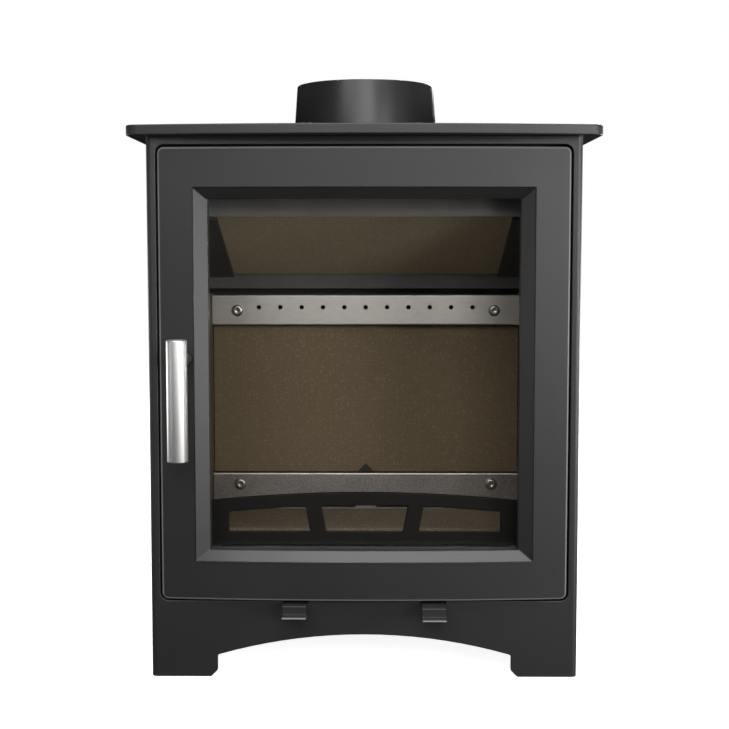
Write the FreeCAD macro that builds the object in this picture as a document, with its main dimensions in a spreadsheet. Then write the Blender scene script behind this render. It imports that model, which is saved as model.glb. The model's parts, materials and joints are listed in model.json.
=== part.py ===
"""Multi-fuel stove: steel body, inset door with a bevelled window, lined firebox, flue collar.

Millimetres, +Z up, the front faces -Y, the origin is the middle of the footprint on the floor.
Depths are counted from the flat front of the body towards the back.
"""
import FreeCAD, Part
import math
import os
import re

import Sketcher

Vector = FreeCAD.Vector

# Driving sizes: alias, value, meaning
SIZE_TABLE = [
    ("body_width", 402, "outside width of the body"),
    ("body_depth", 312, "front face to back face of the body"),
    ("body_top", 506.8, "underside of the top plate above the floor"),
    ("front_wall", 6, "front plate thickness"),
    ("panel_wall", 4, "side and back panel thickness"),
    ("front_round", 5, "rounding of the front plate's upright edges"),
    ("foot_inset", 56, "body edge to the inner edge of a front foot at the floor"),
    ("foot_chamfer", 6.2, "chamfer on the inner corner of a front foot"),
    ("arch_spring", 21, "height where the arch under the body starts"),
    ("arch_rise", 19.8, "rise of the arch in its middle"),
    ("arch_round", 3, "rounding where a foot meets the arch"),
    ("side_foot", 56, "length of a foot seen from the side"),
    ("opening_side", 8.9, "front plate left on each side of the door opening"),
    ("opening_low", 73.2, "lower edge of the door opening"),
    ("opening_high", 499.3, "upper edge of the door opening"),
    ("opening_round", 8, "corner radius of the door opening"),
    ("top_width", 437, "width of the top plate"),
    ("top_wall", 9.6, "top plate thickness"),
    ("top_front", 27, "overhang of the top plate in the middle of its front"),
    ("top_bow", 17, "how far the front edge of the top plate bows"),
    ("top_back", 8, "overhang of the top plate at the back"),
    ("top_corner", 13, "corner radius of the top plate"),
    ("top_edge", 1.2, "edge rounding of the top plate"),
    ("flue_depth", 167, "flue axis behind the front"),
    ("flue_bore", 127, "inside diameter of the flue collar"),
    ("flue_stop", 116, "hole in the top plate that the flue pipe stands on"),
    ("collar_base", 147.4, "outside diameter of the collar at its foot"),
    ("collar_rim", 140.4, "outside diameter of the collar at its rim"),
    ("collar_height", 54, "height of the collar"),
    ("collar_edge", 1.3, "rounding of the collar rim"),
    ("collar_circle", 136, "circle of the collar screws"),
    ("m_six", 6, "diameter of the collar and outlet screws"),
    ("m_six_head", 10, "head diameter of those screws"),
    ("m_six_head_high", 4, "head height of those screws"),
    ("collar_grip", 12, "how far a collar screw enters the collar"),
    ("screw_gap", 0.1, "radial room round a screw"),
    ("outlet_bore", 120, "rear flue outlet in the back panel"),
    ("outlet_drop", 0.4, "top edge of the outlet's blanking plate below the top plate"),
    ("outlet_plate", 134, "side of the square plate that blanks the outlet"),
    ("outlet_wall", 3, "thickness of that plate"),
    ("outlet_pitch", 120, "distance between its screws"),
    ("outlet_screw_grip", 8, "screw length past the blanking plate"),
    ("seat_depth", 26, "depth of the face that the door rope closes on"),
    ("seat_wall", 4, "thickness of the door seat frame"),
    ("seat_half", 151.3, "half width of the firebox mouth"),
    ("seat_bottom", 61.5, "lower edge of the door seat frame"),
    ("mouth_high", 474.6, "upper edge of the firebox mouth"),
    ("mouth_round", 5, "corner radius of the firebox mouth"),
    ("floor_top", 86.4, "top of the firebox floor and lower edge of its mouth"),
    ("floor_wall", 3, "thickness of the firebox floor"),
    ("primary_slot", 8, "width of a primary air slot in the floor"),
    ("primary_slot_long", 50, "length of a primary air slot"),
    ("primary_first", 62, "depth of the first primary air slot"),
    ("primary_step", 18, "distance between primary air slots"),
    ("riser_slot_deep", 26, "size of the opening to the rear air chamber along the depth"),
    ("riser_slot_long", 52, "size of that opening across"),
    ("air_box_half", 112, "half width of the air box"),
    ("air_box_low", 72.6, "underside of the air box"),
    ("air_box_wall", 2, "sheet of the air box"),
    ("air_box_first", 34, "depth where the air box starts"),
    ("tab_offset", 65, "air tabs left and right of the middle"),
    ("tab_width", 22, "width of an air tab"),
    ("tab_wall", 2, "thickness of an air slide"),
    ("tab_neck", 17, "reach of a closed tab's neck in front of the body"),
    ("tab_reach", 26, "reach of a closed tab's lip in front of the body"),
    ("tab_drop", 8, "drop from the neck to the lip"),
    ("tab_edge", 0.6, "rounding of the tab's bends"),
    ("tab_notch_gap", 0.7, "room round a tab in its notch"),
    ("tab_pulled", 8, "how far the right tab stands pulled out"),
    ("valve_half", 23, "half width of the valve plate"),
    ("valve_first", 64, "depth where the closed valve plate starts"),
    ("valve_long", 124, "length of the valve plate"),
    ("valve_gap", 0.4, "running gap of the valve plate"),
    ("port_hole", 18, "diameter of an air port"),
    ("port_first", 90, "depth of the first port"),
    ("slide_travel", 24, "travel of an air slide"),
    ("guide_wall", 2, "sheet of the slide guides"),
    ("guide_lip", 5, "lip of a slide guide under the valve plate"),
    ("guide_first", 40, "depth where the slide guides start"),
    ("guide_long", 150, "length of the slide guides"),
    ("brick_half", 168, "half width between the side bricks"),
    ("brick_wall", 25, "brick thickness"),
    ("brick_first", 46, "depth where the side bricks start"),
    ("side_brick_top", 356, "top of the side bricks"),
    ("chamber_room", 43, "air chamber between the rear air plate and the back panel"),
    ("rear_brick_top", 320.4, "top of the rear brick"),
    ("brick_gap", 0.5, "room at the end of a bar or brick"),
    ("rear_plate_wall", 3, "plate behind the rear brick"),
    ("ledge_ahead", 2, "ledge's face in front of the rear brick"),
    ("ledge_low", 360.8, "lower edge of the ledge's face"),
    ("ledge_top", 376, "top of the ledge"),
    ("ledge_wall", 2, "thickness of the ledge's face"),
    ("ledge_shelf", 3, "thickness of the ledge's shelf"),
    ("bar_standoff", 12, "faces of both air bars in front of the rear brick"),
    ("bar_wall", 2, "sheet of the air bars"),
    ("upper_bar_low", 321, "lower edge of the upper air bar"),
    ("upper_bar_top", 354, "upper edge of the upper air bar"),
    ("jet_hole", 4.7, "diameter of an air jet"),
    ("jet_height", 340.5, "height of the air jets"),
    ("jet_step", 23.3, "distance between air jets"),
    ("feed_hole", 16, "diameter of a feed hole behind the upper bar"),
    ("feed_step", 50, "distance between feed holes"),
    ("upper_screw_half", 140, "upper bar screws left and right of the middle"),
    ("upper_screw_high", 337, "height of the upper bar screws"),
    ("lower_bar_low", 113, "lower edge of the lower air bar"),
    ("lower_bar_top", 158, "upper edge of the lower air bar"),
    ("lower_slot_near", 11.3, "inner end of a lower air slot"),
    ("lower_slot_far", 76, "outer end of a lower air slot"),
    ("lower_slot_low", 119.5, "lower edge of the lower air slots"),
    ("lower_slot_wide", 3, "width of the lower air slots"),
    ("lower_screw_half", 138, "lower bar screws left and right of the middle"),
    ("lower_screw_high", 146, "height of the lower bar screws"),
    ("button_head", 12.4, "button head diameter"),
    ("button_crown", 8.6, "flat on the button head"),
    ("button_high", 3, "button head height"),
    ("button_shank", 5, "diameter of the bar screws"),
    ("button_hex", 4.6, "socket in the button head, across corners"),
    ("button_hex_deep", 2, "depth of that socket"),
    ("brick_tab_wide", 18, "base of the brick tab"),
    ("brick_tab_high", 9.4, "height of the brick tab"),
    ("brick_tab_wall", 2, "thickness of the brick tab"),
    ("carrier_low", 105.6, "underside of the grate carrier"),
    ("carrier_wall", 2.4, "sheet of the grate carrier"),
    ("carrier_first", 34, "depth where the grate carrier starts"),
    ("carrier_flange", 21.5, "grate carrier outside its legs"),
    ("carrier_rim", 8, "how far the grate lies on its carrier"),
    ("grate_half", 140, "half width of the grate"),
    ("grate_first", 42, "depth where the grate starts"),
    ("grate_long", 74, "size of the grate along the depth"),
    ("grate_wall", 8, "thickness of the grate"),
    ("grate_slot", 8, "width of a slot in the grate"),
    ("grate_slot_long", 52, "length of a slot in the grate"),
    ("grate_step", 18, "distance between the grate's slots"),
    ("bed_gap", 1, "gap between the grate and the bed brick"),
    ("bed_wall", 11, "thickness of the bed brick"),
    ("fence_depth", 48, "depth of the fuel retainer's face"),
    ("fence_wall", 5, "thickness of the fuel retainer"),
    ("fence_half", 150, "half width of the fuel retainer"),
    ("fence_mid", 168, "top of the fuel retainer in the middle"),
    ("fence_rise", 8, "rise of its top edge"),
    ("fence_rail", 13, "depth of its top rail"),
    ("fence_window_low", 129, "lower edge of its windows"),
    ("fence_window_half", 132, "outer end of its windows"),
    ("fence_bar_out_top", 57.3, "outer edge of a slanted bar at its top"),
    ("fence_bar_out_low", 53, "outer edge of a slanted bar at its foot"),
    ("fence_bar_in_top", 42, "inner edge of a slanted bar at its top"),
    ("fence_bar_in_low", 37, "inner edge of a slanted bar at its foot"),
    ("fence_foot_half", 104, "feet of the retainer left and right of the middle"),
    ("fence_foot_wide", 8, "width of a foot of the retainer"),
    ("fence_foot_long", 14, "length of a foot of the retainer"),
    ("fence_foot_high", 4, "height of a foot of the retainer"),
    ("pan_half", 138, "half width of the ash pan"),
    ("pan_first", 38, "depth of the ash pan's front"),
    ("pan_back_gap", 6, "room behind the ash pan"),
    ("pan_top", 104, "top of the ash pan"),
    ("pan_wall", 1.5, "sheet of the ash pan"),
    ("pan_gap", 0.4, "room under the ash pan"),
    ("pan_loop_half", 26, "half width of the ash pan's handle"),
    ("pan_loop_reach", 7, "reach of the ash pan's handle"),
    ("pan_loop_wall", 2, "thickness of the ash pan's handle"),
    ("pan_loop_low", 91, "lower edge of the ash pan's handle"),
    ("pan_loop_high", 8, "height of the ash pan's handle"),
    ("wash_depth", 47, "depth of the airwash strip"),
    ("wash_low", 435, "lower edge of the airwash strip"),
    ("wash_wall", 2, "sheet of the airwash strip"),
    ("wash_shelf_gap", 1.4, "airwash shelf above the firebox mouth"),
    ("wash_half", 166, "half width of the airwash strip"),
    ("smoke_gap", 31, "way up for the smoke between the airwash strip and the baffle"),
    ("baffle_high", 435, "underside of the baffle at its upper end"),
    ("baffle_half", 172, "half width of the baffle board"),
    ("baffle_wall", 26.5, "upright thickness of the baffle board"),
    ("rail_half", 144, "half width between the baffle rails"),
    ("rail_wall", 3.2, "upright thickness of the baffle rails"),
    ("door_gap", 1.6, "gap between the door's side and the front plate"),
    ("door_gap_low", 1.6, "gap under the door"),
    ("door_gap_high", 2.2, "gap over the door"),
    ("door_inset", 1, "door edge behind the body's front"),
    ("door_bow", 9, "how far the door's face bows forward"),
    ("door_back", 20, "depth of the door's back"),
    ("door_corner", 6, "corner radius of the door"),
    ("door_edge", 1.9, "rounding of the door's front edge"),
    ("bevel_half", 157.8, "half width of the window bevel's outer edge"),
    ("bevel_low", 111.5, "bevel's outer edge at the bottom"),
    ("bevel_high", 460, "bevel's outer edge at the top"),
    ("bevel_deep", 8, "depth of the bevel"),
    ("window_half", 145, "half width of the window"),
    ("window_low", 120.9, "lower edge of the window"),
    ("window_high", 450, "upper edge of the window"),
    ("glass_lap", 5.5, "glass past the window's edge"),
    ("glass_wall", 4, "glass thickness"),
    ("gasket_wall", 2, "gasket thickness"),
    ("gasket_gap", 0.4, "gasket narrower than its seat"),
    ("clip_half", 90, "glass clips left and right of the middle"),
    ("clip_wide", 16, "width of a glass clip"),
    ("clip_wall", 2, "sheet of a glass clip"),
    ("clip_lap", 5, "clip over the glass"),
    ("clip_gap", 1, "clip past the glass's edge"),
    ("clip_foot", 13, "height of a clip's foot"),
    ("clip_screw_up", 9, "clip screw past the glass's edge"),
    ("clip_screw", 4, "clip screw diameter"),
    ("clip_screw_head", 7, "clip screw head diameter"),
    ("clip_screw_head_high", 2.4, "clip screw head height"),
    ("clip_screw_grip", 8, "clip screw in the door"),
    ("rope_half", 151.7, "half width inside the rope seal"),
    ("rope_wide", 8, "width of the rope seal"),
    ("rope_high", 5.8, "thickness of the rope seal"),
    ("rope_low", 78, "lower edge of the rope seal"),
    ("rope_top", 483, "upper edge of the rope seal"),
    ("rope_round", 2.2, "rounding of the rope seal's section"),
    ("rope_corner", 12, "outer corner radius of the rope seal"),
    ("hinge_half", 181, "hinge axis right of the middle"),
    ("hinge_depth", 8, "hinge axis behind the front"),
    ("hinge_pin", 6, "hinge pin diameter"),
    ("hinge_fit", 0.08, "radial running fit of the hinge pin"),
    ("hinge_barrel", 10, "barrel diameter of a hinge arm"),
    ("hinge_arm", 5, "thickness of a hinge arm"),
    ("hinge_low", 106.7, "lower hinge pocket starts"),
    ("hinge_high", 426.7, "upper hinge pocket starts"),
    ("hinge_zone", 42, "height of a hinge pocket"),
    ("hinge_end_gap", 0.5, "room above and below a hinge arm"),
    ("hinge_pocket_gap", 0.4, "room round a barrel in its pocket"),
    ("hinge_skin", 2.6, "depth where the hinge pockets start"),
    ("pin_grip", 14, "how far a hinge pin enters the door"),
    ("pin_seat_gap", 0.03, "radial room of a hinge pin in the door"),
    ("grip_across", 166.3, "handle left of the middle"),
    ("grip_width", 18.5, "diameter of the handle bar"),
    ("grip_low", 213.5, "lower end of the handle bar"),
    ("grip_high", 323, "upper end of the handle bar"),
    ("grip_edge", 0.9, "edge rounding of the handle bar"),
    ("grip_standoff", 55, "handle bar's axis in front of the body"),
    ("spindle_high", 302, "height of the spindle"),
    ("spindle_neck", 13, "diameter of the spindle outside the door"),
    ("spindle_rod", 10, "diameter of the spindle inside the door"),
    ("spindle_stud", 8, "stud of the spindle in the handle bar"),
    ("stud_long", 14, "length of that stud"),
    ("stud_end_gap", 1, "room past the end of the stud"),
    ("spindle_gap", 0.3, "room round the spindle's neck in the door"),
    ("spindle_fit", 0.08, "radial running fit of the spindle in its bush"),
    ("bush_width", 16, "outside diameter of the bush"),
    ("bush_seat_gap", 0.03, "radial room of the bush in the door"),
    ("bush_depth", 2, "depth where the bush starts"),
    ("stop_ring", 12.6, "outside diameter of the spindle's stop ring"),
    ("stop_ring_high", 4, "thickness of the stop ring"),
    ("stop_ring_gap", 0.3, "room between the bush and the stop ring"),
    ("cam_wide", 10, "width of the latch cam"),
    ("cam_long", 20, "reach of the latch cam"),
    ("cam_wall", 4, "thickness of the latch cam"),
    ("cam_gap", 0.4, "room between the cam and the door seat frame"),
    ("cam_screw", 5, "cam screw diameter"),
    ("cam_screw_head", 8.6, "cam screw head diameter"),
    ("cam_screw_head_high", 3, "cam screw head height"),
    ("cam_screw_grip", 10, "cam screw in the spindle"),
    ("latch_slot_left", 7.7, "latch slot left of the spindle"),
    ("latch_slot_right", 5.8, "latch slot right of the spindle"),
    ("latch_slot_down", 7, "latch slot below the spindle"),
    ("latch_slot_up", 23, "latch slot above the spindle"),
    ("keeper_left", 24, "keeper box left of the spindle"),
    ("keeper_right", 10, "keeper box right of the spindle"),
    ("keeper_down", 12, "keeper box below the spindle"),
    ("keeper_up", 26, "keeper box above the spindle"),
    ("keeper_deep", 12, "depth of the keeper box"),
    ("keeper_wall", 1.5, "sheet of the keeper box"),
    ("overrun", 10, "how far a cut runs past what it cuts"),
]

# Places worked out from the sizes: alias, formula
PLACE_TABLE = [
    ("front_y", "(grip_standoff + grip_width / 2 - body_depth - top_back) / 2"),
    ("body_half", "body_width / 2"),
    ("outlet_height", "body_top - outlet_drop - outlet_plate / 2"),
    ("side_inside", "body_half - panel_wall"),
    ("back_inside", "body_depth - panel_wall"),
    ("foot_inner", "body_half - foot_inset - foot_chamfer"),
    ("arch_radius", "(foot_inner ^ 2 + arch_rise ^ 2) / (2 * arch_rise)"),
    ("side_arch_half", "(body_depth - panel_wall - front_wall) / 2 - side_foot"),
    ("side_arch_radius", "(side_arch_half ^ 2 + arch_rise ^ 2) / (2 * arch_rise)"),
    ("opening_half", "body_half - opening_side"),
    ("door_half", "opening_half - door_gap"),
    ("door_low", "opening_low + door_gap_low"),
    ("door_high", "opening_high - door_gap_high"),
    ("top_half", "top_width / 2"),
    ("top_radius", "(top_half ^ 2 + top_bow ^ 2) / (2 * top_bow)"),
    ("top_face", "body_top + top_wall"),
    ("flue_y", "front_y + flue_depth"),
    ("seat_back", "seat_depth + seat_wall"),
    ("floor_low", "floor_top - floor_wall"),
    ("tab_top", "air_box_low - valve_gap"),
    ("tab_low", "tab_top - tab_wall"),
    ("tab_lip_top", "tab_top - tab_drop"),
    ("notch_half", "tab_width / 2 + tab_notch_gap"),
    ("notch_low", "tab_low - tab_notch_gap"),
    ("notch_high", "tab_top + tab_notch_gap"),
    ("chamber_depth", "back_inside - chamber_room"),
    ("rear_plate_depth", "chamber_depth - rear_plate_wall"),
    ("rear_brick_depth", "rear_plate_depth - brick_wall"),
    ("bar_depth", "rear_brick_depth - bar_standoff"),
    ("ledge_depth", "rear_brick_depth - ledge_ahead"),
    ("bar_half", "brick_half - brick_gap"),
    ("carrier_leg_half", "bar_half - carrier_flange"),
    ("carrier_top", "carrier_low + carrier_wall"),
    ("grate_top", "carrier_top + grate_wall"),
    ("bed_first", "grate_first + grate_long + bed_gap"),
    ("bed_last", "bar_depth - bed_gap"),
    ("fence_radius", "(fence_half ^ 2 + fence_rise ^ 2) / (2 * fence_rise)"),
    ("fence_inner_mid", "fence_mid - fence_rail"),
    ("door_radius", "(door_half ^ 2 + door_bow ^ 2) / (2 * door_bow)"),
    ("bevel_face", "door_inset - door_bow * (1 - (bevel_half / door_half) ^ 2)"),
    ("glass_half", "window_half + glass_lap"),
    ("glass_low", "window_low - glass_lap"),
    ("glass_high", "window_high + glass_lap"),
    ("glass_back", "door_back + glass_wall"),
    ("hinge_y", "front_y + hinge_depth"),
    ("grip_y", "front_y - grip_standoff"),
    ("cam_front", "seat_back + cam_gap"),
    ("cam_back", "cam_front + cam_wall"),
]

SIZES = {alias for alias, number, meaning in SIZE_TABLE}
PLACES = {alias for alias, formula in PLACE_TABLE}

JETS_EACH_SIDE = 5
FEED_HOLES_EACH_SIDE = 2
GRATE_SLOTS_EACH_SIDE = 7
PRIMARY_SLOTS = 3
COLLAR_SCREWS = 4
HEX_CORNER_COUNT = 6
FULL_TURN_DEGREES = 360
NEAR = 1e-4

doc = FreeCAD.newDocument("Stove")


def ref(text):
    """Put the sheet's name before each alias of an expression."""
    def full(match):
        word = match.group(0)
        if word in SIZES:
            return "Sizes." + word
        if word in PLACES:
            return "Places." + word
        return word
    return re.sub(r"[a-z_]+", full, text)


def fill_sheets():
    sizes = doc.addObject("Spreadsheet::Sheet", "Sizes")
    for row, (alias, number, meaning) in enumerate(SIZE_TABLE, start=1):
        sizes.set("A%d" % row, meaning)
        sizes.set("B%d" % row, str(number))
        sizes.setAlias("B%d" % row, alias)
    doc.recompute()
    places = doc.addObject("Spreadsheet::Sheet", "Places")
    for row, (alias, formula) in enumerate(PLACE_TABLE, start=1):
        text = ref(formula).replace("Places.", "")
        places.set("B%d" % row, "=" + text)
        places.setAlias("B%d" % row, alias)
        doc.recompute()
    return sizes


sheet = fill_sheets()


def number(text):
    """The value of an expression, for a starting shape that the constraints then hold."""
    return float(sheet.evalExpression(ref(text)))


def depth(text):
    """The Y of a depth behind the body's front."""
    return "front_y + (%s)" % text


def bind(thing, prop, text):
    thing.setExpression(prop, ref(text))


def rectangle(left, right, low, high):
    return [(left, low), (right, low), (right, high), (left, high)]


def circle(across, up, diameter):
    return ("circle", across, up, diameter)


def hold_point(sketch, geometry, point, across, up):
    for kind, text in (("DistanceX", across), ("DistanceY", up)):
        index = sketch.addConstraint(Sketcher.Constraint(kind, -1, 1, geometry, point, number(text)))
        name = "%s_%d_%d" % (kind.lower(), geometry, point)
        sketch.renameConstraint(index, name)
        bind(sketch, "Constraints." + name, text)


def hold_radius(sketch, geometry, text):
    index = sketch.addConstraint(Sketcher.Constraint("Radius", geometry, number(text)))
    name = "radius_%d" % geometry
    sketch.renameConstraint(index, name)
    bind(sketch, "Constraints." + name, text)


def draw_circle(sketch, loop):
    across, up, diameter = loop[1:]
    centre = Vector(number(across), number(up), 0)
    curve = Part.Circle(centre, Vector(0, 0, 1), number(diameter) / 2)
    geometry = sketch.addGeometry(curve, False)
    hold_point(sketch, geometry, 3, across, up)
    hold_radius(sketch, geometry, "(%s) / 2" % diameter)


def arc_between(start, end, radius, side):
    """The short arc that bulges to the left (1) or the right (-1) of the way from start to end."""
    chord = end - start
    rise = radius - math.sqrt(radius ** 2 - (chord.Length / 2) ** 2)
    normal = Vector(-chord.y, chord.x, 0).normalize()
    return Part.Arc(start, (start + end) / 2 + normal * rise * side, end)


def draw_loop(sketch, loop):
    """Corners are (across, up), and (across, up, radius, side) where an arc leads to the next."""
    points = [Vector(number(corner[0]), number(corner[1]), 0) for corner in loop]
    starts, ends = [], []
    for index, corner in enumerate(loop):
        here, there = points[index], points[(index + 1) % len(loop)]
        if len(corner) == 4:
            curve = arc_between(here, there, number(corner[2]), corner[3])
        else:
            curve = Part.LineSegment(here, there)
        geometry = sketch.addGeometry(curve, False)
        forward = (sketch.getPoint(geometry, 1) - here).Length < NEAR
        starts.append((geometry, 1 if forward else 2))
        ends.append((geometry, 2 if forward else 1))
    for index, corner in enumerate(loop):
        joint = ends[index] + starts[(index + 1) % len(loop)]
        sketch.addConstraint(Sketcher.Constraint("Coincident", *joint))
    for index, corner in enumerate(loop):
        hold_point(sketch, *starts[index], corner[0], corner[1])
        if len(corner) == 4:
            hold_radius(sketch, starts[index][0], corner[2])


def draw(body, plane, height, loops):
    """A sketch across one of the body's own planes, at a height along that plane's axis."""
    sketch = body.newObject("Sketcher::SketchObject", body.Name + "_sketch")
    home = [item for item in body.Origin.OriginFeatures if item.Role == plane + "_Plane"][0]
    sketch.AttachmentSupport = (home, [""])
    sketch.MapMode = "FlatFace"
    sign = "-" if plane == "XZ" else ""
    bind(sketch, ".AttachmentOffset.Base.z", "%s(%s)" % (sign, height))
    for loop in loops:
        if loop[0] == "circle":
            draw_circle(sketch, loop)
        else:
            draw_loop(sketch, loop)
    return sketch


def new_body(label):
    body = doc.addObject("PartDesign::Body", label)
    body.Label = label
    return body


def pad(body, plane, start, length, loops):
    """Add material from start, along the plane's axis."""
    height = "(%s) + (%s)" % (start, length) if plane == "XZ" else start
    feature = body.newObject("PartDesign::Pad", body.Name + "_pad")
    feature.Profile = draw(body, plane, height, loops)
    bind(feature, "Length", length)
    doc.recompute()
    return feature


def pocket(body, plane, start, length, loops):
    """Take material away from start, along the plane's axis."""
    before = body.Shape.Volume
    height = start if plane == "XZ" else "(%s) + (%s)" % (start, length)
    feature = body.newObject("PartDesign::Pocket", body.Name + "_pocket")
    feature.Profile = draw(body, plane, height, loops)
    bind(feature, "Length", length)
    doc.recompute()
    if body.Shape.Volume > before - NEAR:
        raise RuntimeError("a pocket in %s cuts nothing" % body.Label)
    return feature


def lies_at(edge, across=None, along=None, up=None):
    """Whether an edge lies in the planes named; across counts for both sides of the middle."""
    box = edge.BoundBox
    spans = ((across, abs(box.Center.x), box.XLength), (along, box.Center.y, box.YLength),
             (up, box.Center.z, box.ZLength))
    for text, middle, length in spans:
        if text is not None and (length > NEAR or abs(middle - number(text)) > NEAR):
            return False
    return True


def round_edges(body, radius, *spots):
    """Fillet the edges that lie at any of the spots."""
    base = body.Tip
    names = ["Edge%d" % (index + 1) for index, edge in enumerate(base.Shape.Edges)
             if any(lies_at(edge, **spot) for spot in spots)]
    feature = body.newObject("PartDesign::Fillet", body.Name + "_round")
    feature.Base = (base, names)
    bind(feature, "Radius", radius)
    doc.recompute()
    return feature


def place(thing, across, along, up):
    for axis, text in (("x", across), ("y", along), ("z", up)):
        bind(thing, "Placement.Base." + axis, text)


def box(label, across, along, up):
    """A block between two places on each axis."""
    block = doc.addObject("Part::Box", label)
    block.Label = label
    for prop, (low, high) in (("Length", across), ("Width", along), ("Height", up)):
        bind(block, prop, "(%s) - (%s)" % (high, low))
    place(block, across[0], along[0], up[0])
    return block


TURNS = {
    "z": FreeCAD.Rotation(),
    "y": FreeCAD.Rotation(Vector(1, 0, 0), -90),
}


def rod(label, way, diameter, start, length, first, second):
    """A cylinder along Z, at X and Y, or along Y, at X and Z."""
    shaft = doc.addObject("Part::Cylinder", label)
    shaft.Label = label
    shaft.Placement = FreeCAD.Placement(Vector(), TURNS[way])
    bind(shaft, "Radius", "(%s) / 2" % diameter)
    bind(shaft, "Height", length)
    spot = (first, second, start) if way == "z" else (first, start, second)
    place(shaft, *spot)
    return shaft


def cut(label, base, tool):
    result = doc.addObject("Part::Cut", label)
    result.Label = label
    result.Base = base
    result.Tool = tool
    return result


def fuse(label, pieces):
    result = doc.addObject("Part::MultiFuse", label)
    result.Label = label
    result.Shapes = pieces
    return result


def group(label, pieces):
    """Separate solids that share one node."""
    result = doc.addObject("Part::Compound", label)
    result.Label = label
    result.Links = pieces
    return result


# Body panels
def front_plate():
    body = new_body("front_plate")
    outline = [
        ("-body_half", "0"),
        ("-foot_inner - foot_chamfer", "0"),
        ("-foot_inner", "foot_chamfer"),
        ("-foot_inner", "arch_spring", "arch_radius", 1),
        ("foot_inner", "arch_spring"),
        ("foot_inner", "foot_chamfer"),
        ("foot_inner + foot_chamfer", "0"),
        ("body_half", "0"),
        ("body_half", "body_top"),
        ("-body_half", "body_top"),
    ]
    opening = [("-opening_half", "opening_low")]
    for side in ("-", ""):
        opening += [
            (side + "tab_offset - notch_half", "opening_low"),
            (side + "tab_offset - notch_half", "notch_low"),
            (side + "tab_offset + notch_half", "notch_low"),
            (side + "tab_offset + notch_half", "opening_low"),
        ]
    opening += [
        ("opening_half", "opening_low"),
        ("opening_half", "opening_high"),
        ("-opening_half", "opening_high"),
    ]
    pad(body, "XZ", depth("0"), "front_wall", [outline, opening])
    round_edges(body, "front_round", {"across": "body_half", "along": "front_y"})
    round_edges(body, "opening_round", {"across": "opening_half", "up": "opening_low"},
                {"across": "opening_half", "up": "opening_high"})
    round_edges(body, "arch_round", {"across": "foot_inner", "up": "arch_spring"})
    return body


def side_panel(label, start):
    body = new_body(label)
    low = depth("front_wall")
    high = depth("back_inside")
    outline = [
        (low, "0"),
        (low + " + side_foot", "0"),
        (low + " + side_foot", "arch_spring", "side_arch_radius", 1),
        (high + " - side_foot", "arch_spring"),
        (high + " - side_foot", "0"),
        (high, "0"),
        (high, "body_top"),
        (low, "body_top"),
    ]
    pad(body, "YZ", start, "panel_wall", [outline])
    return body


def corner_places(half_across, centre, half_up):
    return [(across, "%s %s %s" % (centre, sign, half_up))
            for across in ("-" + half_across, half_across) for sign in ("-", "+")]


def back_panel():
    body = new_body("back_panel")
    outline = [
        ("-body_half", "0"),
        ("-foot_inner", "0"),
        ("-foot_inner", "arch_spring", "arch_radius", 1),
        ("foot_inner", "arch_spring"),
        ("foot_inner", "0"),
        ("body_half", "0"),
        ("body_half", "body_top"),
        ("-body_half", "body_top"),
    ]
    holes = [circle("0", "outlet_height", "outlet_bore")]
    for across, up in corner_places("outlet_pitch / 2", "outlet_height", "outlet_pitch / 2"):
        holes.append(circle(across, up, "m_six + 2 * screw_gap"))
    pad(body, "XZ", depth("back_inside"), "panel_wall", [outline] + holes)
    return body


def outlet_cover():
    body = new_body("rear_outlet_plate")
    outline = rectangle("-outlet_plate / 2", "outlet_plate / 2",
                        "outlet_height - outlet_plate / 2", "outlet_height + outlet_plate / 2")
    holes = []
    screws = []
    for across, up in corner_places("outlet_pitch / 2", "outlet_height", "outlet_pitch / 2"):
        holes.append(circle(across, up, "m_six + 2 * screw_gap"))
        head = rod("outlet_head", "y", "m_six_head", depth("body_depth + outlet_wall"),
                   "m_six_head_high", across, up)
        shank = rod("outlet_shank", "y", "m_six", depth("body_depth + outlet_wall - outlet_screw_grip"),
                    "outlet_screw_grip", across, up)
        screws.append(fuse("outlet_screw", [head, shank]))
    pad(body, "XZ", depth("body_depth"), "outlet_wall", [outline] + holes)
    return body, group("rear_outlet_screws", screws)


def collar_circle_places(centre_along):
    """Places of the collar screws, at a quarter turn from each other."""
    places = []
    for index in range(COLLAR_SCREWS):
        angle = math.radians(FULL_TURN_DEGREES * (index + 1 / 2) / COLLAR_SCREWS)
        across = "collar_circle / 2 * (%.9f)" % math.cos(angle)
        along = "%s + collar_circle / 2 * (%.9f)" % (centre_along, math.sin(angle))
        places.append((across, along))
    return places


def top_plate():
    body = new_body("top_plate")
    front = depth("top_bow - top_front")
    back = depth("body_depth + top_back")
    outline = [
        ("-top_half", front, "top_radius", -1),
        ("top_half", front),
        ("top_half", back),
        ("-top_half", back),
    ]
    pad(body, "XY", "body_top", "top_wall", [outline])
    front_corners = {"across": "top_half", "along": front}
    back_corners = {"across": "top_half", "along": back}
    round_edges(body, "top_corner", front_corners, back_corners)
    round_edges(body, "top_edge", {"up": "top_face"}, {"up": "body_top"})
    holes = [circle("0", "flue_y", "flue_stop")]
    for across, along in collar_circle_places("flue_y"):
        holes.append(circle(across, along, "m_six + 2 * screw_gap"))
    pocket(body, "XY", "body_top - overrun", "top_wall + 2 * overrun", holes)
    return body


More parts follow.
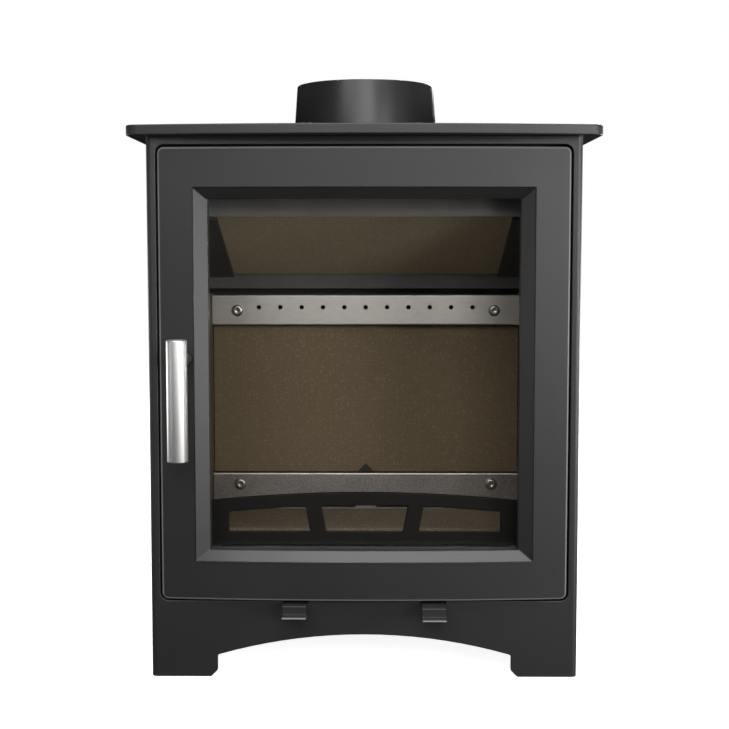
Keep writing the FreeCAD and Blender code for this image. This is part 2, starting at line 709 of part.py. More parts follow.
def flue_collar():
    body = new_body("flue_collar")
    section = [
        ("flue_bore / 2", "top_face"),
        ("collar_base / 2", "top_face"),
        ("collar_rim / 2", "top_face + collar_height"),
        ("flue_bore / 2", "top_face + collar_height"),
    ]
    turned = body.newObject("PartDesign::Revolution", "flue_collar_turned")
    turned.Profile = draw(body, "XZ", "0", [section])
    axis = [item for item in body.Origin.OriginFeatures if item.Role == "Z_Axis"][0]
    turned.ReferenceAxis = (axis, [""])
    turned.Angle = FULL_TURN_DEGREES
    doc.recompute()
    round_edges(body, "collar_edge", {"up": "top_face + collar_height"})
    holes = [circle(across, along, "m_six + 2 * screw_gap")
             for across, along in collar_circle_places("0")]
    pocket(body, "XY", "top_face", "collar_grip", holes)
    bind(body, "Placement.Base.y", "flue_y")
    return body


def collar_screws():
    screws = []
    for across, along in collar_circle_places("flue_y"):
        head = rod("collar_head", "z", "m_six_head", "body_top - m_six_head_high", "m_six_head_high",
                   across, along)
        shank = rod("collar_shank", "z", "m_six", "body_top", "top_wall + collar_grip - screw_gap",
                    across, along)
        screws.append(fuse("collar_screw", [head, shank]))
    return group("collar_screws", screws)


# Door seat, latch keeper and hinge arms
def door_seat_frame():
    body = new_body("door_seat_frame")
    outline = rectangle("-side_inside", "side_inside", "seat_bottom", "body_top")
    slide_slots = [rectangle(side + "tab_offset - notch_half", side + "tab_offset + notch_half",
                             "notch_low", "notch_high") for side in ("-", "")]
    mouth = rectangle("-seat_half", "seat_half", "floor_top", "mouth_high")
    slot = rectangle("-grip_across - latch_slot_left", "-grip_across + latch_slot_right",
                     "spindle_high - latch_slot_down", "spindle_high + latch_slot_up")
    pad(body, "XZ", depth("seat_depth"), "seat_wall", [outline, mouth, slot, *slide_slots])
    round_edges(body, "mouth_round", {"across": "seat_half", "up": "floor_top"},
                {"across": "seat_half", "up": "mouth_high"})
    return body


def latch_keeper():
    body = new_body("latch_keeper")
    left, right = "-grip_across - keeper_left", "-grip_across + keeper_right"
    low, high = "spindle_high - keeper_down", "spindle_high + keeper_up"
    pad(body, "XZ", depth("seat_back"), "keeper_deep", [rectangle(left, right, low, high)])
    inside = rectangle(left + " + keeper_wall", right + " - keeper_wall",
                       low + " + keeper_wall", high + " - keeper_wall")
    pocket(body, "XZ", depth("seat_back - overrun"), "keeper_deep + overrun - keeper_wall", [inside])
    return body


def hinge_arms():
    arms = []
    for start in ("hinge_low", "hinge_high"):
        low = start + " + hinge_end_gap"
        length = "hinge_zone - 2 * hinge_end_gap"
        barrel = rod("hinge_barrel", "z", "hinge_barrel", low, length, "hinge_half", "hinge_y")
        arm = box("hinge_arm", ("hinge_half - hinge_arm / 2", "hinge_half + hinge_arm / 2"),
                  ("hinge_y", depth("seat_depth")), (low, low + " + " + length))
        solid = fuse("hinge_leaf", [barrel, arm])
        bore = rod("hinge_bore", "z", "hinge_pin + 2 * hinge_fit", low + " - overrun",
                   length + " + 2 * overrun", "hinge_half", "hinge_y")
        arms.append(cut("hinge_leaf_bored", solid, bore))
    return group("hinge_arms", arms)


# Firebox floor, air box and air slides
def firebox_floor():
    body = new_body("firebox_floor")
    outline = rectangle("-side_inside", "side_inside", depth("seat_back"), depth("back_inside"))
    slots = []
    for index in range(PRIMARY_SLOTS):
        near = depth("primary_first + %d * primary_step" % index)
        slots.append(rectangle("-tab_offset - primary_slot_long / 2", "-tab_offset + primary_slot_long / 2",
                               near, near + " + primary_slot"))
    riser = rectangle("tab_offset - riser_slot_long / 2", "tab_offset + riser_slot_long / 2",
                      depth("chamber_depth + panel_wall"),
                      depth("chamber_depth + panel_wall + riser_slot_deep"))
    pad(body, "XY", "floor_low", "floor_wall", [outline, riser] + slots)
    return body


def air_box():
    body = new_body("air_box")
    near, far = depth("air_box_first"), depth("back_inside")
    pad(body, "XY", "air_box_low", "floor_low - air_box_low",
        [rectangle("-air_box_half", "air_box_half", near, far)])
    chambers = []
    for left, right in (("-air_box_half + air_box_wall", "-air_box_wall / 2"),
                        ("air_box_wall / 2", "air_box_half - air_box_wall")):
        chambers.append(rectangle(left, right, near + " + air_box_wall", far + " - air_box_wall"))
    pocket(body, "XY", "air_box_low + air_box_wall",
           "floor_low - air_box_low - air_box_wall + overrun", chambers)
    ports = []
    for side in ("-", ""):
        for step in ("0", "2 * slide_travel"):
            ports.append(circle(side + "tab_offset", depth("port_first + " + step), "port_hole"))
    pocket(body, "XY", "air_box_low - overrun", "air_box_wall + 2 * overrun", ports)
    return body


def air_slide(label, side, pulled):
    """A strip with a bent tab in front and a valve plate under the air box's ports."""
    body = new_body(label)
    centre = side + "tab_offset"
    back = depth("valve_first + valve_long - " + pulled)
    neck = depth("-tab_neck - " + pulled)
    reach = depth("-tab_reach - " + pulled)
    profile = [
        (back, "tab_top"),
        (neck, "tab_top"),
        (neck, "tab_lip_top"),
        (reach, "tab_lip_top"),
        (reach, "tab_lip_top - tab_wall"),
        (neck + " + tab_wall", "tab_lip_top - tab_wall"),
        (neck + " + tab_wall", "tab_low"),
        (back, "tab_low"),
    ]
    pad(body, "YZ", centre + " - tab_width / 2", "tab_width", [profile])
    round_edges(body, "tab_edge", {"along": neck, "up": "tab_top"}, {"along": reach, "up": "tab_lip_top"},
                {"along": reach, "up": "tab_lip_top - tab_wall"})
    start = depth("valve_first - " + pulled)
    plate = rectangle(centre + " - valve_half", centre + " + valve_half", start, back)
    pad(body, "XY", "tab_low", "tab_wall", [plate])
    ports = [circle(centre, depth("port_first + %s * slide_travel - %s" % (step, pulled)), "port_hole")
             for step in ("1", "3")]
    pocket(body, "XY", "tab_low - overrun", "tab_wall + 2 * overrun", ports)
    return body


def slide_guides():
    guides = []
    for side in ("-", ""):
        for hand in ("-", "+"):
            web_in = "%stab_offset %s (valve_half + valve_gap)" % (side, hand)
            web_out = "%s %s guide_wall" % (web_in, hand)
            lip = "%s %s (guide_wall - guide_lip)" % (web_in, hand)
            body = new_body("slide_guide")
            profile = [
                (web_in, "air_box_low"),
                (web_out, "air_box_low"),
                (web_out, "tab_low - valve_gap - guide_wall"),
                (lip, "tab_low - valve_gap - guide_wall"),
                (lip, "tab_low - valve_gap"),
                (web_in, "tab_low - valve_gap"),
            ]
            pad(body, "XZ", depth("guide_first"), "guide_long", [profile])
            guides.append(body)
    return group("slide_guides", guides)


# Firebox lining
def side_brick(label, across):
    along = (depth("brick_first"), depth("rear_plate_depth"))
    return box(label, across, along, ("floor_top", "side_brick_top"))


def rear_brick():
    body = new_body("rear_brick")
    outline = rectangle("-bar_half", "bar_half", "floor_top", "rear_brick_top")
    holes = [circle(side + "lower_screw_half", "lower_screw_high", "button_shank + 2 * screw_gap")
             for side in ("-", "")]
    pad(body, "XZ", depth("rear_brick_depth"), "brick_wall", [outline] + holes)
    return body


def rear_air_plate():
    body = new_body("rear_air_plate")
    outline = rectangle("-side_inside", "side_inside", "floor_top", "ledge_top - ledge_shelf")
    holes = []
    for side in ("-", ""):
        for half, up in (("lower_screw_half", "lower_screw_high"), ("upper_screw_half", "upper_screw_high")):
            holes.append(circle(side + half, up, "button_shank + 2 * screw_gap"))
    for index in range(-FEED_HOLES_EACH_SIDE, FEED_HOLES_EACH_SIDE + 1):
        holes.append(circle("%d * feed_step" % index, "upper_screw_high", "feed_hole"))
    pad(body, "XZ", depth("rear_plate_depth"), "rear_plate_wall", [outline] + holes)
    return body


def rear_ledge():
    body = new_body("rear_ledge")
    face, back = depth("ledge_depth"), depth("back_inside")
    profile = [
        (face, "ledge_low"),
        (face + " + ledge_wall", "ledge_low"),
        (face + " + ledge_wall", "ledge_top - ledge_shelf"),
        (back, "ledge_top - ledge_shelf"),
        (back, "ledge_top"),
        (face, "ledge_top"),
    ]
    pad(body, "YZ", "-side_inside", "2 * side_inside", [profile])
    return body


def air_bar(label, low, high, back, openings):
    """A folded channel, open at the back, with holes through its face."""
    body = new_body(label)
    face = depth("bar_depth")
    inner = face + " + bar_wall"
    profile = [
        (face, low),
        (back, low),
        (back, low + " + bar_wall"),
        (inner, low + " + bar_wall"),
        (inner, high + " - bar_wall"),
        (back, high + " - bar_wall"),
        (back, high),
        (face, high),
    ]
    pad(body, "YZ", "-bar_half", "2 * bar_half", [profile])
    pocket(body, "XZ", face + " - overrun", "bar_wall + 2 * overrun", openings)
    return body


def upper_air_bar():
    openings = [circle("%d * jet_step" % index, "jet_height", "jet_hole")
                for index in range(-JETS_EACH_SIDE, JETS_EACH_SIDE + 1)]
    openings += [circle(side + "upper_screw_half", "upper_screw_high", "button_shank + 2 * screw_gap")
                 for side in ("-", "")]
    return air_bar("upper_air_bar", "upper_bar_low", "upper_bar_top", depth("rear_plate_depth"), openings)


def lower_air_bar():
    slot_top = "lower_slot_low + lower_slot_wide"
    openings = [
        rectangle("-lower_slot_far", "-lower_slot_near", "lower_slot_low", slot_top),
        rectangle("lower_slot_near", "lower_slot_far", "lower_slot_low", slot_top),
    ]
    openings += [circle(side + "lower_screw_half", "lower_screw_high", "button_shank + 2 * screw_gap")
                 for side in ("-", "")]
    return air_bar("lower_air_bar", "lower_bar_low", "lower_bar_top", depth("rear_brick_depth"), openings)


def bar_screws(label, half, up):
    """Button head screws through an air bar into the plate behind the brick."""
    screws = []
    for side in ("-", ""):
        across = side + half
        head = doc.addObject("Part::Cone", "button_head")
        head.Placement = FreeCAD.Placement(Vector(), TURNS["y"])
        bind(head, "Radius1", "button_crown / 2")
        bind(head, "Radius2", "button_head / 2")
        bind(head, "Height", "button_high")
        place(head, across, depth("bar_depth - button_high"), up)
        shank = rod("button_shank", "y", "button_shank", depth("bar_depth"),
                    "chamber_depth - bar_depth + rear_plate_wall", across, up)
        socket = doc.addObject("Part::Prism", "button_socket")
        socket.Polygon = HEX_CORNER_COUNT
        socket.Placement = FreeCAD.Placement(Vector(), TURNS["y"])
        bind(socket, "Circumradius", "button_hex / 2")
        bind(socket, "Height", "button_hex_deep + overrun")
        place(socket, across, depth("bar_depth - button_high - overrun"), up)
        screws.append(cut("button_screw", fuse("button_blank", [head, shank]), socket))
    return group(label, screws)


def brick_tab():
    body = new_body("brick_tab")
    triangle = [
        ("-brick_tab_wide / 2", "lower_bar_top"),
        ("brick_tab_wide / 2", "lower_bar_top"),
        ("0", "lower_bar_top + brick_tab_high"),
    ]
    pad(body, "XZ", depth("rear_brick_depth - brick_tab_wall"), "brick_tab_wall", [triangle])
    return body


def airwash_strip():
    body = new_body("airwash_strip")
    near, far = depth("seat_back"), depth("wash_depth + wash_wall")
    shelf = "mouth_high + wash_shelf_gap"
    profile = [
        (near, shelf),
        (depth("wash_depth"), shelf),
        (depth("wash_depth"), "wash_low"),
        (far, "wash_low"),
        (far, shelf + " + wash_wall"),
        (near, shelf + " + wash_wall"),
    ]
    pad(body, "YZ", "-wash_half", "2 * wash_half", [profile])
    return body


def sloped(body, start, length, low_extra, high_extra):
    """A slanted board from the ledge up to the front, between two heights over its underside."""
    near, far = depth("wash_depth + smoke_gap"), depth("ledge_depth")
    profile = [
        (near, "baffle_high" + low_extra),
        (near, "baffle_high" + high_extra),
        (far, "ledge_top" + high_extra),
        (far, "ledge_top" + low_extra),
    ]
    pad(body, "YZ", start, length, [profile])
    return body


def baffle_board():
    return sloped(new_body("baffle_board"), "-baffle_half", "2 * baffle_half", "", " + baffle_wall")


def baffle_rails():
    rails = []
    for start in ("-side_inside", "rail_half"):
        rails.append(sloped(new_body("baffle_rail"), start, "side_inside - rail_half", " - rail_wall", ""))
    return group("baffle_rails", rails)


# Grate, bed, fuel retainer and ash pan
def grate_carrier():
    body = new_body("grate_carrier")
    profile = [
        ("-bar_half", "carrier_low"),
        ("-carrier_leg_half - carrier_wall", "carrier_low"),
        ("-carrier_leg_half - carrier_wall", "floor_top"),
        ("-carrier_leg_half", "floor_top"),
        ("-carrier_leg_half", "carrier_low"),
        ("carrier_leg_half", "carrier_low"),
        ("carrier_leg_half", "floor_top"),
        ("carrier_leg_half + carrier_wall", "floor_top"),
        ("carrier_leg_half + carrier_wall", "carrier_low"),
        ("bar_half", "carrier_low"),
        ("bar_half", "carrier_top"),
        ("-bar_half", "carrier_top"),
    ]
    pad(body, "XZ", depth("carrier_first"), "bed_last - carrier_first", [profile])
    hole = rectangle("-grate_half + carrier_rim", "grate_half - carrier_rim",
                     depth("grate_first + carrier_rim"), depth("grate_first + grate_long - carrier_rim"))
    pocket(body, "XY", "carrier_low - overrun", "carrier_wall + 2 * overrun", [hole])
    return body


def grate():
    body = new_body("grate")
    near = depth("grate_first")
    outline = rectangle("-grate_half", "grate_half", near, near + " + grate_long")
    middle = depth("grate_first + grate_long / 2")
    slots = []
    for index in range(-GRATE_SLOTS_EACH_SIDE, GRATE_SLOTS_EACH_SIDE + 1):
        across = "%d * grate_step" % index
        slots.append(rectangle(across + " - grate_slot / 2", across + " + grate_slot / 2",
                               middle + " - grate_slot_long / 2", middle + " + grate_slot_long / 2"))
    pad(body, "XY", "carrier_top", "grate_wall", [outline] + slots)
    return body


def bed_brick():
    return box("bed_brick", ("-bar_half", "bar_half"), (depth("bed_first"), depth("bed_last")),
               ("carrier_top", "carrier_top + bed_wall"))


def fence_inner(across):
    """Height of the windows' curved tops."""
    return "fence_inner_mid - fence_rise * (%s / fence_half) ^ 2" % across


def fuel_retainer():
    body = new_body("fuel_retainer")
    outline = [
        ("-fence_half", "grate_top"),
        ("fence_half", "grate_top"),
        ("fence_half", "fence_mid - fence_rise", "fence_radius", -1),
        ("-fence_half", "fence_mid - fence_rise"),
    ]
    windows = [[
        ("-fence_bar_in_low", "fence_window_low"),
        ("fence_bar_in_low", "fence_window_low"),
        ("fence_bar_in_top", fence_inner("fence_bar_in_top"), "fence_radius", -1),
        ("-fence_bar_in_top", fence_inner("fence_bar_in_top")),
    ], [
        ("-fence_window_half", "fence_window_low"),
        ("-fence_bar_out_low", "fence_window_low"),
        ("-fence_bar_out_top", fence_inner("fence_bar_out_top"), "fence_radius", -1),
        ("-fence_window_half", fence_inner("fence_window_half")),
    ], [
        ("fence_bar_out_low", "fence_window_low"),
        ("fence_window_half", "fence_window_low"),
        ("fence_window_half", fence_inner("fence_window_half"), "fence_radius", -1),
        ("fence_bar_out_top", fence_inner("fence_bar_out_top")),
    ]]
    pad(body, "XZ", depth("fence_depth"), "fence_wall", [outline] + windows)
    for side in ("-", ""):
        foot = rectangle(side + "fence_foot_half - fence_foot_wide / 2",
                         side + "fence_foot_half + fence_foot_wide / 2",
                         depth("fence_depth"), depth("fence_depth + fence_wall + fence_foot_long"))
        pad(body, "XY", "grate_top", "fence_foot_high", [foot])
    return body


def ash_pan():
    body = new_body("ash_pan")
    near, far = depth("pan_first"), depth("bed_last - pan_back_gap")
    low = "floor_top + pan_gap"
    pad(body, "XY", low, "pan_top - (%s)" % low, [rectangle("-pan_half", "pan_half", near, far)])
    inside = rectangle("-pan_half + pan_wall", "pan_half - pan_wall",
                       near + " + pan_wall", far + " - pan_wall")
    pocket(body, "XY", low + " + pan_wall", "pan_top - (%s) - pan_wall + overrun" % low, [inside])
    return body


def ash_pan_handle():
    body = new_body("ash_pan_handle")
    near, front = depth("pan_first"), depth("pan_first - pan_loop_reach")
    loop = [
        ("-pan_loop_half", near),
        ("-pan_loop_half", front),
        ("pan_loop_half", front),
        ("pan_loop_half", near),
        ("pan_loop_half - pan_loop_wall", near),
        ("pan_loop_half - pan_loop_wall", front + " + pan_loop_wall"),
        ("-pan_loop_half + pan_loop_wall", front + " + pan_loop_wall"),
        ("-pan_loop_half + pan_loop_wall", near),
    ]
    pad(body, "XY", "pan_loop_low", "pan_loop_high", [loop])
    return body


# Door
def skew_pad(body, height, along, up, loops):
    """A pad that leans: it goes along and up at once."""
    feature = body.newObject("PartDesign::Pad", body.Name + "_skew")
    feature.Profile = draw(body, "XY", height, loops)
    feature.UseCustomVector = True
    feature.AlongSketchNormal = False
    feature.Direction = Vector(0, number(along), number(up))
    bind(feature, "Direction.y", along)
    bind(feature, "Direction.z", up)
    bind(feature, "Length", "sqrt((%s) ^ 2 + (%s) ^ 2)" % (along, up))
    doc.recompute()
    return feature


def bowed_section(half, face, back):
    """A plan view of the door between two sides, with the door's own bow in front."""
    return [("-" + half, depth(face), "door_radius", -1), (half, depth(face)), (half, depth(back)),
            ("-" + half, depth(back))]


def door_frame():
    body = new_body("door_frame")
    section = bowed_section("door_half", "door_inset", "door_back")
    pad(body, "XY", "door_low", "door_high - door_low", [section])
    round_edges(body, "door_corner", {"across": "door_half", "up": "door_low"},
                {"across": "door_half", "up": "door_high"})
    base = body.Tip
    names = []
    limit = number(depth("door_back / 2"))
    for index, edge in enumerate(base.Shape.Edges):
        if edge.BoundBox.YMax < limit:
            names.append("Edge%d" % (index + 1))
    feature = body.newObject("PartDesign::Fillet", "door_frame_front_round")
    feature.Base = (base, names)
    bind(feature, "Radius", "door_edge")
    doc.recompute()
    hole = rectangle("-bevel_half", "bevel_half", "bevel_low", "bevel_high")
    pocket(body, "XZ", depth("-door_bow - overrun"), "door_back + door_bow + 2 * overrun", [hole])
    wedges = []
    for side in ("-", ""):
        wedges.append([
            (side + "bevel_half", depth("bevel_face")),
            (side + "window_half", depth("bevel_face + bevel_deep")),
            (side + "window_half", depth("door_back")),
            (side + "bevel_half", depth("door_back")),
        ])
    pad(body, "XY", "bevel_low", "bevel_high - bevel_low", wedges)
    section = bowed_section("bevel_half", "bevel_face", "door_back")
    skew_pad(body, "bevel_high", "bevel_deep", "window_high - bevel_high", [section])
    skew_pad(body, "bevel_low", "bevel_deep", "window_low - bevel_low", [section])
    pocket(body, "XZ", depth("door_back"), "bevel_deep + overrun",
           [rectangle("-door_half", "door_half", "door_low", "door_high")])
    rebate = rectangle("-glass_half - gasket_gap", "glass_half + gasket_gap",
                       "glass_low - gasket_gap", "glass_high + gasket_gap")
    pocket(body, "XZ", depth("door_back - gasket_wall"), "gasket_wall + overrun", [rebate])
    for start in ("hinge_low", "hinge_high"):
        hollow = rectangle("hinge_half - hinge_barrel / 2 - hinge_pocket_gap", "door_half + overrun",
                           start, start + " + hinge_zone")
        pocket(body, "XZ", depth("hinge_skin"), "door_back - hinge_skin + overrun", [hollow])
        pin_hole = circle("hinge_half", "hinge_y", "hinge_pin + 2 * pin_seat_gap")
        pocket(body, "XY", start + " - pin_grip", "hinge_zone + 2 * pin_grip", [pin_hole])
    pocket(body, "XZ", depth("-door_bow - overrun"), "door_back + door_bow + 2 * overrun",
           [circle("-grip_across", "spindle_high", "spindle_neck + 2 * spindle_gap")])
    pocket(body, "XZ", depth("bush_depth"), "door_back - bush_depth + overrun",
           [circle("-grip_across", "spindle_high", "bush_width + 2 * bush_seat_gap")])
    screw_holes = [circle(across, up, "clip_screw + 2 * screw_gap") for across, up in clip_screw_places()]
    pocket(body, "XZ", depth("door_back - clip_screw_grip - screw_gap"),
           "clip_screw_grip + overrun", screw_holes)
    return body


def clip_screw_places():
    return [(side + "clip_half", up) for side in ("-", "")
            for up in ("glass_high + clip_screw_up", "glass_low - clip_screw_up")]


def glass():
    return box("glass", ("-glass_half", "glass_half"), (depth("door_back"), depth("glass_back")),
               ("glass_low", "glass_high"))


def glass_gasket():
    body = new_body("glass_gasket")
    outline = rectangle("-glass_half", "glass_half", "glass_low", "glass_high")
    window = rectangle("-window_half - gasket_gap", "window_half + gasket_gap",
                       "window_low - gasket_gap", "window_high + gasket_gap")
    pad(body, "XZ", depth("door_back - gasket_wall"), "gasket_wall", [outline, window])
    return body


def glass_clips():
    """Z-shaped clips, two along the top of the glass and two along its bottom."""
    clips = []
    foot, lip = depth("door_back"), depth("glass_back")
    for side in ("-", ""):
        for edge, sign in (("glass_high", "+"), ("glass_low", "-")):
            profile = [
                (foot, "%s %s clip_gap" % (edge, sign)),
                (lip, "%s %s clip_gap" % (edge, sign)),
                (lip, "%s %s (0 - clip_lap)" % (edge, sign)),
                (lip + " + clip_wall", "%s %s (0 - clip_lap)" % (edge, sign)),
                (lip + " + clip_wall", "%s %s (clip_gap + clip_wall)" % (edge, sign)),
                (foot + " + clip_wall", "%s %s (clip_gap + clip_wall)" % (edge, sign)),
                (foot + " + clip_wall", "%s %s clip_foot" % (edge, sign)),
                (foot, "%s %s clip_foot" % (edge, sign)),
            ]
            body = new_body("glass_clip")
            pad(body, "YZ", side + "clip_half - clip_wide / 2", "clip_wide", [profile])
            hole = circle(side + "clip_half", "%s %s clip_screw_up" % (edge, sign),
                          "clip_screw + 2 * screw_gap")
            pocket(body, "XZ", foot + " - overrun", "clip_wall + 2 * overrun", [hole])
            clips.append(body)
    return group("glass_clips", clips)


def clip_screws():
    screws = []
    for across, up in clip_screw_places():
        head = rod("clip_head", "y", "clip_screw_head", depth("door_back + clip_wall"),
                   "clip_screw_head_high", across, up)
        shank = rod("clip_shank", "y", "clip_screw", depth("door_back - clip_screw_grip"),
                    "clip_screw_grip + clip_wall", across, up)
        screws.append(fuse("clip_screw", [head, shank]))
    return group("clip_screws", screws)


def rope_seal():
    body = new_body("rope_seal")
    outer = rectangle("-rope_half - rope_wide", "rope_half + rope_wide", "rope_low", "rope_top")
    inner = rectangle("-rope_half", "rope_half", "rope_low + rope_wide", "rope_top - rope_wide")
    pad(body, "XZ", depth("door_back"), "rope_high", [outer, inner])
    round_edges(body, "rope_corner", {"across": "rope_half + rope_wide", "up": "rope_low"},
                {"across": "rope_half + rope_wide", "up": "rope_top"})
    round_edges(body, "rope_corner - rope_wide", {"across": "rope_half", "up": "rope_low + rope_wide"},
                {"across": "rope_half", "up": "rope_top - rope_wide"})
    round_edges(body, "rope_round", {"along": depth("door_back + rope_high")})
    return body


def hinge_pins():
    pins = [rod("hinge_pin", "z", "hinge_pin", start + " - pin_grip", "hinge_zone + 2 * pin_grip",
                "hinge_half", "hinge_y") for start in ("hinge_low", "hinge_high")]
    return group("hinge_pins", pins)


def spindle_bush():
    tube = rod("bush_tube", "y", "bush_width", depth("bush_depth"), "door_back - bush_depth",
               "-grip_across", "spindle_high")
    bore = rod("bush_bore", "y", "spindle_rod + 2 * spindle_fit", depth("bush_depth - overrun"),
               "door_back - bush_depth + 2 * overrun", "-grip_across", "spindle_high")
    return cut("spindle_bush", tube, bore)


# Handle and latch
def handle_bar():
    body = new_body("handle_bar")
    pad(body, "XY", "grip_low", "grip_high - grip_low", [circle("0", "0", "grip_width")])
    round_edges(body, "grip_edge", {"up": "grip_low"}, {"up": "grip_high"})
    hole = circle("0", "spindle_high", "spindle_stud + 2 * screw_gap")
    pocket(body, "XZ", "grip_width / 2 - stud_long - stud_end_gap",
           "stud_long + stud_end_gap + overrun", [hole])
    bind(body, "Placement.Base.x", "-grip_across")
    bind(body, "Placement.Base.y", "grip_y")
    return body


def handle_spindle():
    shoulder = "grip_y + grip_width / 2 + screw_gap"
    stud = rod("spindle_stud", "y", "spindle_stud", shoulder + " - stud_long", "stud_long",
               "-grip_across", "spindle_high")
    neck = rod("spindle_neck", "y", "spindle_neck", shoulder, depth("bush_depth") + " - (%s)" % shoulder,
               "-grip_across", "spindle_high")
    shaft = rod("spindle_shaft", "y", "spindle_rod", depth("bush_depth"), "cam_front - bush_depth",
                "-grip_across", "spindle_high")
    blank = fuse("spindle_blank", [stud, neck, shaft])
    tapped = rod("spindle_tapped", "y", "cam_screw + 2 * screw_gap",
                 depth("cam_front - cam_screw_grip - screw_gap"), "cam_screw_grip + overrun",
                 "-grip_across", "spindle_high")
    return cut("handle_spindle", blank, tapped)


def spindle_collar():
    tube = rod("stop_tube", "y", "stop_ring", depth("door_back + stop_ring_gap"), "stop_ring_high",
               "-grip_across", "spindle_high")
    bore = rod("stop_bore", "y", "spindle_rod + 2 * bush_seat_gap", depth("door_back - overrun"),
               "stop_ring_high + 2 * overrun", "-grip_across", "spindle_high")
    return cut("spindle_collar", tube, bore)


def latch_cam():
    body = new_body("latch_cam")
    outline = [
        ("-grip_across - cam_long", "spindle_high - cam_wide / 2"),
        ("-grip_across", "spindle_high - cam_wide / 2"),
        ("-grip_across + cam_wide / 2", "spindle_high - cam_wide / 4"),
        ("-grip_across + cam_wide / 2", "spindle_high + cam_wide / 4"),
        ("-grip_across", "spindle_high + cam_wide / 2"),
        ("-grip_across - cam_long", "spindle_high + cam_wide / 2"),
    ]
    hole = circle("-grip_across", "spindle_high", "cam_screw + 2 * screw_gap")
    pad(body, "XZ", depth("cam_front"), "cam_wall", [outline, hole])
    return body


def cam_screw():
    head = rod("cam_screw_head", "y", "cam_screw_head", depth("cam_back"), "cam_screw_head_high",
               "-grip_across", "spindle_high")
    shank = rod("cam_screw_shank", "y", "cam_screw", depth("cam_front - cam_screw_grip"),
                "cam_screw_grip + cam_wall", "-grip_across", "spindle_high")
    return fuse("cam_screw", [head, shank])


def build():
    """Make every sub-part, each with the label that names its file."""
    outlet_plate, outlet_screws = outlet_cover()
    return [
        front_plate(),
        side_panel("left_side_panel", "-body_half"),
        side_panel("right_side_panel", "side_inside"),
        back_panel(),
        outlet_plate,
        outlet_screws,
        top_plate(),
        flue_collar(),
        collar_screws(),
        door_seat_frame(),
        latch_keeper(),
        hinge_arms(),
        firebox_floor(),
        air_box(),
        slide_guides(),
        air_slide("left_air_slide", "-", "0"),
        air_slide("right_air_slide", "", "tab_pulled"),
        side_brick("left_brick", ("-brick_half - brick_wall", "-brick_half")),
        side_brick("right_brick", ("brick_half", "brick_half + brick_wall")),
        rear_brick(),
        rear_air_plate(),
        rear_ledge(),
        upper_air_bar(),
        bar_screws("upper_bar_screws", "upper_screw_half", "upper_screw_high"),
        lower_air_bar(),
        bar_screws("lower_bar_screws", "lower_screw_half", "lower_screw_high"),
        brick_tab(),
        airwash_strip(),
        baffle_board(),
        baffle_rails(),
        grate_carrier(),
        grate(),
        bed_brick(),
        fuel_retainer(),
        ash_pan(),
        ash_pan_handle(),
        door_frame(),
        glass(),
        glass_gasket(),
        glass_clips(),
        clip_screws(),
        rope_seal(),
        hinge_pins(),
        spindle_bush(),
        handle_bar(),
        handle_spindle(),
        spindle_collar(),
        latch_cam(),
        cam_screw(),
    ]


def check(pieces):
    """Stop if any object failed or any sub-part has no good shape."""
    doc.recompute()
    for thing in doc.Objects:
        if "Invalid" in thing.State or "Error" in thing.State:
            raise RuntimeError("%s failed: %s" % (thing.Label, thing.State))
    for piece in pieces:
        if piece.Shape.isNull() or not piece.Shape.isValid() or not piece.Shape.Solids:
            raise RuntimeError("%s has no good shape" % piece.Label)


subparts = build()
check(subparts)
os.makedirs("parts", exist_ok=True)
for subpart in subparts:
    subpart.Shape.exportStep(os.path.join("parts", subpart.Label + ".step"))
print("%d sub-parts written" % len(subparts))
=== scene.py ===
"""Multi-fuel stove: finishes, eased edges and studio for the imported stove.

Metres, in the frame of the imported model: +Z up, the door faces -Y.
"""
import json
import math

import bmesh
import bpy
from bpy.props import FloatProperty, FloatVectorProperty, IntProperty, PointerProperty
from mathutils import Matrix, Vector


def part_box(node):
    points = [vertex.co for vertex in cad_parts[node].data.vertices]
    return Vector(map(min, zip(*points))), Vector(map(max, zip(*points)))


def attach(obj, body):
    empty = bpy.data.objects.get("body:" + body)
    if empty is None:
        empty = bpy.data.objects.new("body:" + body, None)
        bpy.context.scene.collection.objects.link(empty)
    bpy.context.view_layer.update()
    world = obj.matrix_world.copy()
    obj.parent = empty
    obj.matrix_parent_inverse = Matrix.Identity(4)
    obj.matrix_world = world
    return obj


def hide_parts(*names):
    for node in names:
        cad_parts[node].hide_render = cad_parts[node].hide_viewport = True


bl_info = {
    "name": "Multi-fuel stove",
    "version": (1, 0, 0),
    "blender": (4, 5, 0),
    "location": "3D View > Sidebar > Stove",
    "description": "Finishes, eased edges and a studio for the packed stove",
    "category": "Object",
}

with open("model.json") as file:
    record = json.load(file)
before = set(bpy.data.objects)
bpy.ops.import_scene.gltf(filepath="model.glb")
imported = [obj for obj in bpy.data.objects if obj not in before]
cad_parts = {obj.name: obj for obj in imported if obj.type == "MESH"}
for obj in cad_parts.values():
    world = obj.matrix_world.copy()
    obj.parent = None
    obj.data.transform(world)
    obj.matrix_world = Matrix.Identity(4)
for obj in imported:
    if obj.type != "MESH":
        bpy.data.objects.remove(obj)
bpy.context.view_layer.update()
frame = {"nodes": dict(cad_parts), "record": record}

RECORD = frame["record"]
BODY_OF = {node: body for body, nodes in RECORD["behaviour"]["bodies"].items() for node in nodes}

MM = 0.001
# Angles between faces: edges that count as cut, edges that are eased, and flat sheet
SHARP = math.radians(30)
EASED = math.radians(32)
FLAT = math.radians(0.1)
# Angles under which faces shade as one: on turned and pressed pieces, and on the pane
SMOOTH = math.radians(40)
PANE_SMOOTH = math.radians(20)
# How near two points are joined: on the CAD pieces, and on turned ones
CAD_WELD = 0.004 * MM
TURNED_WELD = 0.01 * MM
